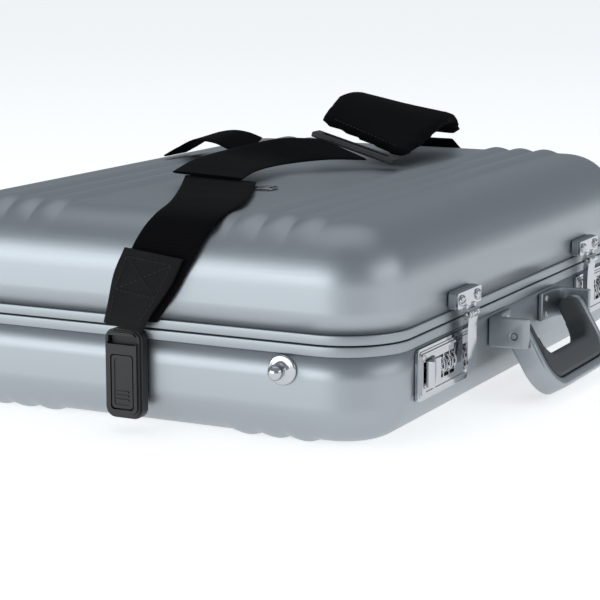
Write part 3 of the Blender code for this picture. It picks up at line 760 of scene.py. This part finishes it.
HASP_LEAF = [  # distance out from the wall, height: down the back, round the tip and up the front
    (6.4, 62.5), (6.0, 60.5), (6.0, 44), (6.3, 38), (7.0, 33.5), (7.5, 31.6), (8.1, 31.0), (9.2, 31.0),
    (9.9, 31.6), (10.0, 33.2), (9.7, 38), (9.45, 44), (9.4, 52), (9.6, 57.5), (9.9, 60.5), (9.9, 62.5)]


class Wall:
    """Places latch parts by distance along the plate from its outer end, out from the wall, and height."""

    def __init__(self, side):
        self.side = side
        self.inward = (-side, 0, 0)

    def x(self, u):
        return self.side * (LOCK_END - u)

    def at(self, u, proud, z):
        return Vector((self.x(u), WALL - proud, z))

    def block(self, u, proud, z):
        low_x, high_x = sorted((self.x(u[0]), self.x(u[1])))
        return box((low_x, WALL - proud[1], z[0]), (high_x, WALL - proud[0], z[1]))

    def plate(self, u, proud, z, radius):
        low_x, high_x = sorted((self.x(u[0]), self.x(u[1])))
        outline = rounded((low_x, z[0]), (high_x, z[1]), radius)
        return prism(outline, WALL - proud[1], WALL - proud[0], "y")

    def rod(self, u, proud, z, radius, steps=40):
        return rod(self.at(u[0], proud, z), self.inward, radius, u[1] - u[0], steps, 0.4)

    def pin_hole(self):
        return self.rod((HASP_U - 9, HASP_U + 9), HASP_PROUD, HASP_Z, PIN_HOLE_R, 24)


def slotted_screw(name, centre, outward, radius, turn, material, body, height=1.0):
    """A domed round head with a driver slot."""
    dome = ((-0.2, 1), (height * 0.35, 1), (height * 0.75, 0.86), (height * 0.95, 0.6), (height, 0.25))
    profile = [(along, radius * share) for along, share in dome] + [(height, 0.02)]
    head = make(name, turned(profile, centre, outward, 40), material, sharp=50)
    axis, first, second = basis(outward)
    along = first * math.cos(turn) + second * math.sin(turn)
    across = axis.cross(along)
    half_length, half_width = radius * 1.2, radius * 0.14
    rings = []
    for depth in (height * 0.25, height + 1):
        rings.append([Vector(centre) + axis * depth + along * a * half_length + across * b * half_width
                      for a, b in ((-1, -1), (1, -1), (1, 1), (-1, 1))])
    cut(head, loft(rings))
    settle(head, body)


def numeral(value):
    """One raised digit as mesh data in millimetres, lying flat round its own middle."""
    curve = bpy.data.curves.new("numeral", "FONT")
    curve.body = str(value)
    curve.size = NUMERAL_SIZE
    curve.align_x, curve.align_y = "CENTER", "CENTER"
    curve.extrude = 0.17
    curve.offset = 0.06
    curve.resolution_u = 3
    holder = bpy.data.objects.new("numeral", curve)
    data = bpy.data.meshes.new_from_object(holder)
    bpy.data.objects.remove(holder)
    return data


def make_dial(wall, word, number, u, finish):
    """A number wheel: milled rims, a smooth band between them, and ten raised numerals."""
    centre = Vector((wall.x(u) - DIAL_W / 2, DIAL_AXIS_Y, LOCK_Z))
    rings = []
    for along, radius, milling in DIAL_PROFILE:
        ring = []
        for i in range(DIAL_STEPS):
            angle = 2 * math.pi * i / DIAL_STEPS
            reach = radius - milling * (0.5 - 0.5 * math.cos(DIAL_TEETH * angle)) ** 2
            ring.append(centre + Vector((along, reach * math.cos(angle), reach * math.sin(angle))))
        rings.append(ring)
    body = f"dial_{word}_{number}"
    make(f"dial_wheel_{word}_{number}", loft(rings, closed=True), finish["chrome"], body,
         f"number_dial_{word}_{number}", 32)
    digits = bmesh.new()
    for value in range(10):
        data = numeral(value)
        turn = math.pi + 2 * math.pi * (value - number * 3) / 10
        for vertex in data.vertices:
            across, up, out = vertex.co
            angle = turn - up / DIAL_R
            reach = DIAL_R - NUMERAL_SUNK + out
            y, z = DIAL_AXIS_Y + reach * math.cos(angle), LOCK_Z + reach * math.sin(angle)
            vertex.co = (wall.x(u) + across, y, z)
        digits.from_mesh(data)
        bpy.data.meshes.remove(data)
    make(f"dial_numerals_{word}_{number}", digits, finish["ink"], body, sharp=30)


def make_lock_face(wall, word, finish):
    """The lock plate: stepped layers round a sunk field, with openings for the dials and the thumb slide."""
    def layer(inset, proud, radius):
        heights = PLATE_LOW_Z + inset, PLATE_HIGH_Z - inset
        return wall.plate((inset, LOCK_WIDTH - inset), proud, heights, radius)

    plate = make("lock_face_" + word, layer(0, (0.3, 2.4), 3.0), finish["chrome"], sharp=30)
    join(plate, layer(2.0, (1.0, 3.0), 2.2))
    join(plate, layer(3.4, (1.0, PLATE_PROUD), 1.6))
    cut(plate, layer(5.0, (3.2, 6), 1.4))
    for u in DIAL_U:
        cut(plate, wall.block((u - 3.8, u + 3.8), (-1, 6), (LOCK_Z - 7.2, LOCK_Z + 7.2)))
    cut(plate, wall.block((THUMB_U - 9.5, THUMB_U + 5.5), (-1, 6), (LOCK_Z - 3.3, LOCK_Z + 3.3)))
    soften(plate, 0.35, 3, 40)
    settle(plate, "base", "lock_plate_" + word)
    for u, z, radius, turn in LOCK_SCREWS:
        slotted_screw(f"lock_screw_{word}_{round(u)}_{round(z)}", wall.at(u, 3.1, z), FORWARD, radius, turn,
                      finish["steel"], "base", 1.2)


def make_thumb(wall, word, finish):
    """The sliding thumb piece, with the tongue that runs behind the plate."""
    outline = [(wall.x(u), WALL - proud) for u, proud in THUMB_SCOOP]
    thumb = make("thumb_piece_" + word, prism(outline, 29.5, 45.5), finish["chrome"], sharp=30)
    join(thumb, wall.block((THUMB_U - 5, THUMB_U + 5), (-8, 4.8), (LOCK_Z - 3, LOCK_Z + 3)))
    soften(thumb, 0.5, 3, 45)
    settle(thumb, "thumb_" + word, "thumb_slide_" + word)


def make_catch(wall, word, finish):
    """On the lid: the riser, the catch plate with its ears and screws, and the hasp's pin."""
    block = wall.plate((49, 85), (0.3, 5.8), (69, 80), 1.6)
    riser = make("catch_block_" + word, block, finish["frame"], sharp=30)
    soften(riser, 0.9, 3, 50)
    settle(riser, "lid", "catch_riser_" + word)
    strap = wall.plate((48, 86), (6.1, 7.5), (69.5, 79.5), 1.2)
    catch = make("catch_strap_" + word, strap, finish["chrome"], sharp=30)
    for low, high in ((HASP_U - 8.0, HASP_U - 4.6), (HASP_U + 4.6, HASP_U + 8.0)):
        join(catch, wall.rod((low, high), HASP_PROUD, HASP_Z, KNUCKLE_R))
        join(catch, wall.block((low + 0.02, high - 0.02), (6.2, 8.6), (64.5, 70.6)))
    cut(catch, wall.pin_hole())
    soften(catch, 0.35, 3, 45)
    settle(catch, "lid", "catch_plate_" + word)
    for offset, turn in ((-CATCH_U, 0.35), (CATCH_U, 1.25)):
        place = wall.at(HASP_U + offset, 7.5, 74.5)
        slotted_screw(f"catch_screw_{word}_{'ab'[offset > 0]}", place, FORWARD, 3.5, turn, finish["chrome"],
                      "lid", 1.9)
    start = wall.at(HASP_U - 8.5, HASP_PROUD, HASP_Z)
    make("hinge_rod_" + word, turned(HASP_PIN, start, wall.inward, 32), finish["steel"], "lid",
         "hasp_pin_" + word, 40)


def make_hasp(wall, word, finish):
    """The swinging leaf, joined by a short web to its grooved knuckle."""
    ends = sorted((wall.x(59.7), wall.x(74.3)))
    leaf = prism([(WALL - proud, z) for proud, z in HASP_LEAF], *ends, axis="x")
    hasp = make("hasp_plate_" + word, leaf, finish["chrome"], sharp=30)
    join(hasp, wall.block((HASP_U - 4.2, HASP_U + 4.2), (6.6, 9.8), (62.0, 64.6)))
    join(hasp, turned(HASP_KNUCKLE, wall.at(HASP_U - 4.3, HASP_PROUD, HASP_Z), wall.inward, 40))
    cut(hasp, wall.pin_hole())
    soften(hasp, 0.5, 3, 50)
    settle(hasp, "hasp_" + word, "hasp_" + word)


def make_latch(side, word, finish):
    wall = Wall(side)
    make_lock_face(wall, word, finish)
    for number, u in enumerate(DIAL_U, 1):
        make_dial(wall, word, number, u, finish)
    make_thumb(wall, word, finish)
    make_catch(wall, word, finish)
    make_hasp(wall, word, finish)


# ---------------------------------------------------------------- handle and studs


GRIP_TILT = math.radians(30)
GRIP_HALF_X, GRIP_DROP, GRIP_R, GRIP_WALL = 57.3, 44.0, 22.0, 6.5
GRIP_PIVOT = Vector((0, WALL - 17.5, 41.5))
GRIP_DOWN = Vector((0, -math.sin(GRIP_TILT), -math.cos(GRIP_TILT)))
GRIP_ACROSS = Vector((0, -math.cos(GRIP_TILT), math.sin(GRIP_TILT)))
GRIP_ARM_TOP = (-7.4, -6.9, -5.8, -4.0, -1.0, 4.0, 10.0, 16.0)  # heights of the arm's first sections
GRIP_HALF_WIDTHS = [2.6, 4.2, 5.9, 7.2, 7.9]  # at the rounded top of the arm
LINING_GAP = 0.35
BRACKET_OUTLINE = [
    (62.5, -0.3), (62.5, -24.2), (62.1, -25.8), (61.0, -26.8), (59.8, -27.0), (57.9, -27.0), (57.9, -9.6),
    (57.4, -8.2), (56.2, -7.1), (53.3, -6.0), (49.5, -5.0), (45.3, -4.3), (38.0, -3.8), (29.5, -3.3),
    (29.5, -0.3)]
STUD_FLANGE = [  # distance out from the end wall, radius
    (0.3, 9.0), (0.5, 9.18), (1.0, 9.2), (1.5, 9.05), (1.9, 8.7), (2.2, 8.1), (2.35, 7.2), (2.45, 6.4),
    (2.75, 5.4), (3.3, 4.5), (4.1, 3.75), (5.0, 3.4), (5.6, 3.45), (6.1, 3.62)]
BALL_OUT, BALL_R = 9.2, 4.8


def grip_line(offset, drop, radius):
    """Half of the U from the top of an arm to the middle, as (x, distance from the pivot)."""
    half = GRIP_HALF_X - offset
    line = [(-half, d) for d in GRIP_ARM_TOP]
    for step in range(15):
        angle = math.pi / 2 * step / 14
        line.append((-half + radius * (1 - math.cos(angle)), drop - radius * (1 - math.sin(angle))))
    end = line[-1][0]
    return line + [(end * (1 - i / 4), drop) for i in range(1, 5)]


def grip_band(outer, inner, rounding):
    """The U as a loft of rounded sections between two lines, narrowing at the rounded tops of the arms."""
    halves = GRIP_HALF_WIDTHS + [8.0] * (len(outer) - len(GRIP_HALF_WIDTHS))
    rings = []
    stations = [(i, 1) for i in range(len(outer))] + [(i, -1) for i in range(len(outer) - 2, -1, -1)]
    for i, mirror in stations:
        (near_x, near_drop), (far_x, far_drop) = outer[i], inner[i]
        depth = math.hypot(near_x - far_x, near_drop - far_drop)
        corner = min(rounding, depth / 2 - 0.05)
        ring = []
        for along, across in rounded((0, -halves[i]), (depth, halves[i]), corner, 6):
            x = near_x + (far_x - near_x) * along / depth
            drop = near_drop + (far_drop - near_drop) * along / depth
            ring.append(GRIP_PIVOT + GRIP_DOWN * drop + GRIP_ACROSS * across + Vector((mirror * x, 0, 0)))
        rings.append(ring)
    return loft(rings)


def make_grip(finish):
    """The grip's shell, not yet drilled for its pivots, and the soft lining inside the U."""
    outer = grip_line(0, GRIP_DROP, GRIP_R)
    inner = grip_line(GRIP_WALL, GRIP_DROP - GRIP_WALL, GRIP_R - GRIP_WALL)
    shell = make("grip_bow", grip_band(outer, inner, 2.4), finish["shell"], sharp=60)
    start = GRIP_WALL + LINING_GAP
    outer = grip_line(start, GRIP_DROP - start, GRIP_R - start)
    inner = grip_line(GRIP_WALL + 7.0, GRIP_DROP - GRIP_WALL - 16.9, 14.0)
    make("grip_padding", grip_band(outer, inner, 3.2), finish["grip"], "handle", "grip_lining", 60)
    return shell


def make_bracket(side, word, grip, finish):
    """One handle bracket with its pin and screws; its pivot hole is drilled through the grip as well."""
    outline = [(side * x, WALL + y) for x, y in BRACKET_OUTLINE]
    bracket = make("handle_mount_" + word, prism(outline, 33.5, 53.1), finish["frame"], sharp=30)
    outward = (side, 0, 0)
    start = (side * (GRIP_HALF_X - GRIP_WALL - 2), GRIP_PIVOT.y, GRIP_PIVOT.z)
    cut(bracket, rod(start, outward, 2.1, 14))
    cut(grip, rod(start, outward, 2.3, 14))
    soften(bracket, 1.0, 4, 42)
    settle(bracket, "base", "handle_bracket_" + word)
    pin = "handle_pin_" + word
    low, high = cad(pin)
    length = high.x - low.x
    start = (low.x if side > 0 else high.x, GRIP_PIVOT.y, GRIP_PIVOT.z)
    profile = [(0, 1.7), (0.3, 2.0), (length - 0.2, 2.0), (length, 1.9)]
    make("handle_rivet_" + word, turned(profile, start, outward, 32), finish["frame"], cad_body(pin), pin,
         50)
    for z in (38.0, 48.6):
        slotted_screw(f"mount_screw_{word}_{round(z)}", (side * 37.0, WALL - 3.7, z), FORWARD, 2.0, z,
                      finish["steel"], "base", 0.8)


def make_stud(side, word, finish):
    """A strap stud: a flange, a neck and a ball head."""
    profile = list(STUD_FLANGE)
    for step in range(15):
        angle = math.radians(-38 + 127.6 * step / 14)
        profile.append((BALL_OUT + BALL_R * math.sin(angle), BALL_R * math.cos(angle)))
    low, high = cad("strap_stud_" + word)
    centre = (side * HALF_L, (low.y + high.y) / 2, (low.z + high.z) / 2)
    make("stud_" + word, turned(profile, centre, (side, 0, 0), 72), finish["chrome"], "base",
         "strap_stud_" + word, 60)


def make_handle(finish):
    grip = make_grip(finish)
    for side, word in SIDES:
        make_bracket(side, word, grip, finish)
    settle(grip, "handle", "grip_shell")
    for side, word in SIDES:
        make_stud(side, word, finish)


def cad_body(node):
    """The body that a CAD node belongs to."""
    return next(body for body, nodes in frame["record"]["behaviour"]["bodies"].items() if node in nodes)


# ---------------------------------------------------------------- hinge screws


def make_hinge_screws(finish):
    """Three screws on the outside of each hinge leaf."""
    for _, word in SIDES:
        for part in ("base", "lid"):
            low, high = cad(f"hinge_{part}_leaf_{word}")
            z = (low.z + 5.5) if part == "base" else (high.z - 5.5)
            for letter, offset in zip("abc", (-16, 0, 16)):
                place = ((low.x + high.x) / 2 + offset, 167.8, z)
                slotted_screw(f"hinge_screw_{part}_{word}_{letter}", place, (0, 1, 0), 2.6, offset * 0.7 + z,
                              finish["steel"], part, 0.9)


# ---------------------------------------------------------------- strap


WEB_W, WEB_T, LEATHER_T = 44.0, 1.8, 3.3
LEATHER_STATIONS = (  # distance out from the end wall, y, z, half width
    (8.6, 0, 62.5, 13), (8.5, -5, 74, 15), (6.8, -13, 92, 19.5), (4.5, -20, 108, 20))
TOP = LID_TOP


def weave_ribs(along, share):
    """Cross ribs of the webbing, fading at its bound edges."""
    edge = 1.0 if abs(share) < 0.9 else 0.3
    return 0.05 * edge * math.sin(2 * math.pi * along / 2.6)


def webbing(name, node, stations, finish):
    """A strip of webbing along the stations, with woven cross ribs. A strip of webbing,
    declared as a sheet of its nominal width and its modelled length.
    """
    mesh, length = band(stations, WEB_T - 0.15, 0.65, 10, weave_ribs)
    piece = make(name, mesh, finish["webbing"], "strap", node, 60)
    return piece


class Ribbon:
    """A curved strap whose surface can be addressed by distance along and share across."""

    def __init__(self, stations, thickness):
        centres, halves = zip(*stations)
        self.centres, self.halves, self.length = even_path(centres, halves, 0.5)
        self.thickness = thickness

    def at(self, along, across, lift, outward):
        """Point `across` millimetres from the middle, lifted off the face that looks outward."""
        place = min(max(along / self.length, 0), 1) * (len(self.centres) - 1)
        i = min(int(place), len(self.centres) - 2)
        share = place - i
        centre = self.centres[i].lerp(self.centres[i + 1], share)
        half = self.halves[i].lerp(self.halves[i + 1], share)
        ahead = (self.centres[i + 1] - self.centres[i]).normalized()
        normal = ahead.cross(half).normalized()
        if normal.dot(Vector(outward)) < 0:
            normal = -normal
        return centre + half.normalized() * across + normal * (self.thickness / 2 + lift), normal, ahead


def stitch_line(mesh, ribbon, start, end, outward, pitch=3.0, stitch=2.2, thick=0.32):
    """A row of thread stitches from one (along, across) place to another."""
    length = math.hypot(end[0] - start[0], end[1] - start[1])
    count = max(1, round(length / pitch))
    for i in range(count):
        points = []
        for share in (0.0, 0.25, 0.5, 0.75, 1.0):
            t = (i + 0.5 + (share - 0.5) * stitch / pitch) / count
            along = start[0] + (end[0] - start[0]) * t
            across = start[1] + (end[1] - start[1]) * t
            dip = -0.22 if share in (0.0, 1.0) else 0.12
            points.append(ribbon.at(along, across, dip, outward))
        rings = []
        for j, (centre, normal, _) in enumerate(points):
            other = points[min(j + 1, 4)][0] - points[max(j - 1, 0)][0]
            side = other.cross(normal).normalized()
            size = thick * (0.6 if j in (0, 4) else 1.0)
            rings.append([centre + side * size * math.cos(a) + normal * size * math.sin(a)
                          for a in (2 * math.pi * k / 6 for k in range(6))])
        loft(rings, mesh=mesh)


def make_clip(side, word, finish):
    """A plastic snap clip: a frame over the stud, a ribbed release tab, and a stitched leather patch."""
    def slab(proud, y, z, radius):
        ends = sorted(side * (HALF_L + out) for out in proud)
        return prism(rounded((y[0], z[0]), (y[1], z[1]), radius), *ends, axis="x")

    clip = make("clip_body_" + word, slab((2.0, 7.6), (-13, 13), (6.5, 61), 6.5), finish["plastic"], sharp=30)
    join(clip, slab((1.6, 9.0), (-11.6, 11.6), (8.2, 60.2), 5.4))
    join(clip, slab((1.8, 10.5), (-10.2, 10.2), (9.8, 59.4), 4.4))
    cut(clip, slab((0, 12), (-8, 8), (12, 46), 2.2))
    cut(clip, slab((0, 12), (-10.2, 10.2), (52, 57.5), 1.4))
    join(clip, slab((3.5, 5.8), (-9.4, 9.4), (47.2, 59.8), 1.0))
    soften(clip, 0.45, 3, 45)
    settle(clip, "strap", "strap_clip_" + word)
    button = slab((6.6, 10.3), (-7.2, 7.2), (13, 45.4), 2.0)
    tab = make("clip_button_" + word, button, finish["plastic"], sharp=30)
    cut(tab, slab((9.8, 12), (-5.4, 5.4), (15, 43.4), 1.2))
    for z in (17.5, 20.0, 22.5):
        join(tab, slab((9.5, 10.5), (-4.4, 4.4), (z, z + 1.1), 0.4))
    soften(tab, 0.35, 3, 45)
    settle(tab, "clip_tab_" + word, "clip_release_tab_" + word)
    make_leather(side, word, finish)


def make_leather(side, word, finish):
    """The leather patch that joins clip and webbing, sewn with a crossed square and two edge rows."""
    stations = []
    for proud, y, z, half in LEATHER_STATIONS:
        stations.append((Vector((side * (HALF_L + proud), y, z)), Vector((0, half, -2.2 * side))))
    mesh, length = band(stations, LEATHER_T)
    make("leather_patch_" + word, mesh, finish["leather"], "strap", "leather_tab_" + word, 60)
    ribbon = Ribbon(stations, LEATHER_T)
    stitches = bmesh.new()
    outward = (side, 0, 0.2)
    low, high = length - 27.0, length - 5.0
    square = ((low, -14.0), (high, -15.5), (high, 15.5), (low, 14.0))
    for a, b in zip(square, square[1:] + square[:1]):
        stitch_line(stitches, ribbon, a, b, outward)
    stitch_line(stitches, ribbon, square[0], square[2], outward)
    stitch_line(stitches, ribbon, square[1], square[3], outward)
    for edge in (-1, 1):
        stitch_line(stitches, ribbon, (4.0, edge * 9.6), (low, edge * 14.0), outward)
    make("leather_stitching_" + word, stitches, finish["thread"], "strap", sharp=60)


def shoulder(side, angle_deg, lift):
    """(x, z) of a point lifted off the lid's rounded end, by its angle from the top."""
    angle = math.radians(angle_deg)
    reach = LID_EDGE_R + lift
    return side * (HALF_L - LID_EDGE_R + reach * math.sin(angle)), TOP - LID_EDGE_R + reach * math.cos(angle)


def make_strap(finish):
    """The whole strap as it lies, from the left clip over the lid to the right one."""
    for side, word in SIDES:
        make_clip(side, word, finish)
    half = WEB_W / 2
    left = [(Vector((-HALF_L - 2.2, -5, 66)), Vector((0, 15, 0))),
            (Vector((-HALF_L - 2.2, -14, 86)), Vector((0, half - 2, 0)))]
    for angle, y in ((72, -22.5), (48, -27), (27, -30)):
        px, pz = shoulder(-1, angle, 2.7)
        left.append((Vector((px, y, pz)), Vector((0, half, 0))))
    left += over_lid((((-180, -26, 2.6), (-6, half, 0)), ((-135, -8, 4.2), (-8, half, 1)),
                      ((-97, 10, 5.6), (-8, half, 2))))
    webbing("webbing_left", "strap_webbing_left", left, finish)
    make_slider(finish)
    upper = over_lid((((-104, 16, 8.5), (-7, half, 2)), ((-62, 25, 10.5), (-4, half, 3)),
                      ((-15, 27, 11), (-3, half, 4)), ((20, 8, 14), (3, half - 1, 6)),
                      ((41, -13, 12.8), (4, half - 2, 6))))
    webbing("webbing_upper", "strap_webbing_upper", upper, finish)
    slack = over_lid((((46, 127, 2.4), (17, 0, 0)), ((50, 117, 8.5), (17, 0, 0)), ((52, 105, 15), (17, 0, 1)),
                      ((54, 91, 16), (16, 0, 3)), ((56, 79, 13), (15, 0, 5)), ((58, 68, 9.4), (14, 0, 5))))
    webbing("webbing_slack_loop", "strap_slack_loop", slack, finish)
    make_buckle(finish)
    right = [(Vector((203, -11, TOP + 5.6)), Vector((0, half - 3, 0)))]
    for angle, y in ((30, -13), (50, -17), (72, -18)):
        px, pz = shoulder(1, angle, 2.2)
        right.append((Vector((px, y, pz)), Vector((0, half - 1, 0))))
    right += [(Vector((HALF_L + 2.2, -13, 86)), Vector((0, half - 3, 0))),
              (Vector((HALF_L + 2.2, -5, 66)), Vector((0, 15, 0)))]
    webbing("webbing_right", "strap_webbing_right", right, finish)
    make_pad(finish)


def make_slider(finish):
    """The flat metal slider, with a long slot on each side of its middle bar."""
    plate = prism(rounded((-98, -27), (-84, 33), 3), TOP + 0.4, TOP + 1.6)
    slider = make("strap_bar_slider", plate, finish["chrome"], sharp=30)
    for low, high in ((-95.5, -92.2), (-89.8, -86.5)):
        cut(slider, prism(rounded((low, -24), (high, 30), 1.2), TOP - 1, TOP + 4))
    soften(slider, 0.35, 3, 45)
    settle(slider, "strap", "strap_slider")


def make_buckle(finish):
    """The long buckle at the pad: a plate with one slot and a round bar along it."""
    far, near = over_lid((((60, 18, 21), (7, 0, 0)), ((45, -52, 5.5), (7, 0, 0))))
    mesh, _ = band((far, near), 3.9, 1.0, 8)
    buckle = make("strap_buckle_frame", mesh, finish["plastic"], sharp=40)
    run = near[0] - far[0]
    lift = run.cross(Vector((1, 0, 0))).normalized()
    slot = []
    for height in (-6, 6):
        slot.append([far[0] + run * along + Vector((across, 0, 0)) + lift * height
                     for along, across in ((0.1, -3.4), (0.9, -3.4), (0.9, 3.4), (0.1, 3.4))])
    cut(buckle, loft(slot))
    join(buckle, rod(far[0] + run * 0.06, run, 1.5, run.length * 0.88, 24))
    soften(buckle, 0.4, 3, 45)
    settle(buckle, "strap", "pad_buckle")


def over_lid(stations):
    """Stations given by their height over the lid's flat top."""
    return [(Vector(centre) + UP * TOP, Vector(half)) for centre, half in stations]


def make_pad(finish):
    """The shoulder pad: a flat cloth bag blown up lightly, then trimmed with a stitched edge."""
    stations = over_lid((((74, -12, 16), (11, 39.6, 10.5)), ((106, -10, 25), (5, 41.6, 13)),
                         ((142, -8, 32), (0, 41.6, 10.5)), ((172, -8, 29), (0, 38.6, 5)),
                         ((195, -10, 12.5), (0, 31.6, 0))))
    thickness = 7.2
    mesh, length = band(stations, thickness, 3.0, 14)
    pad = make("shoulder_cushion", mesh, finish["pad"], sharp=80)
    inflate(pad)
    settle(pad, "strap", "shoulder_pad")
    seams = bmesh.new()
    ribbon = Ribbon(stations, 8.0)
    for across in (-29.0, 29.0):
        stitch_line(seams, ribbon, (5, across), (length - 5, across), UP, 3.4, 2.4, 0.35)
    for along in (6.0, length - 6.0):
        stitch_line(seams, ribbon, (along, -29), (along, 29), UP, 3.4, 2.4, 0.35)
    make("cushion_stitching", seams, finish["thread"], "strap", sharp=60)


def inflate(pad):
    """Blows the bag up with a short cloth simulation, keeping every point near where it started."""
    remesh = pad.modifiers.new("even", "REMESH")
    remesh.mode = "VOXEL"
    remesh.voxel_size = 0.004
    even = pad.modifiers.new("even_out", "SMOOTH")
    even.factor, even.iterations = 0.5, 6
    apply_modifiers(pad)
    start = [v.co.copy() for v in pad.data.vertices]
    cloth = pad.modifiers.new("cloth", "CLOTH")
    settings = cloth.settings
    settings.quality = 6
    settings.mass = 0.2
    settings.tension_stiffness = settings.compression_stiffness = 20
    settings.use_pressure = True
    settings.uniform_pressure_force = 4
    settings.effector_weights.gravity = 0
    cloth.collision_settings.use_collision = False
    cloth.point_cache.frame_start, cloth.point_cache.frame_end = 1, 20
    scene = bpy.context.scene
    for step in range(1, 21):
        scene.frame_set(step)
    apply_modifiers(pad)
    scene.frame_set(1)
    for vertex, place in zip(pad.data.vertices, start):
        shift = vertex.co - place
        vertex.co = place + shift * min(1, 0.0011 / max(shift.length, 1e-9))
    smooth = pad.modifiers.new("smooth", "SUBSURF")
    smooth.levels = smooth.render_levels = 1
    apply_modifiers(pad)
    pad.data.shade_smooth()


def main():
    finish = {
        "shell": brushed_metal("brushed_shell", (0.39, 0.42, 0.445), 0.42),
        "frame": brushed_metal("satin_frame", (0.34, 0.37, 0.39), 0.38, 0.00002),
        "steel": brushed_metal("bright_steel", (0.60, 0.60, 0.61), 0.28, 0.00002),
        "chrome": chrome_metal("polished_chrome"),
        "rubber": moulded("gasket_rubber", (0.012, 0.012, 0.013), 0.6),
        "plastic": moulded("clip_plastic", (0.011, 0.012, 0.013), 0.5),
        "grip": moulded("soft_grip", (0.055, 0.060, 0.066), 0.55, 500.0, 0.0001),
        "leather": leather_hide("black_leather"),
        "webbing": woven("strap_weave", (0.0018, 0.0017, 0.0022), 420, 700),
        "pad": felted("pad_cloth", (0.0022, 0.0022, 0.0026)),
        "thread": felted("sewing_thread", (0.030, 0.030, 0.034), 1500.0),
        "ink": moulded("numeral_paint", (0.010, 0.010, 0.011), 0.5, 1500.0, 0.00002),
        "lining": felted("lining_cloth", (0.10, 0.10, 0.11), 600.0),
    }
    make_camera()
    make_studio()
    make_body(finish)
    for side, word in SIDES:
        make_latch(side, word, finish)
    make_handle(finish)
    make_hinge_screws(finish)
    make_strap(finish)
    slots = {s["node"]: s["material_slot"] for s in frame["record"]["subparts"]}
    for node, obj in carried_nodes():
        obj.data.materials.clear()
        obj.data.materials.append(finish[slots[node]])


def carried_nodes():
    """The CAD nodes that no piece has replaced, with their objects."""
    for name in frame["nodes"]:
        obj = bpy.data.objects.get(name)
        if obj and not obj.hide_render:
            yield name, obj


main()
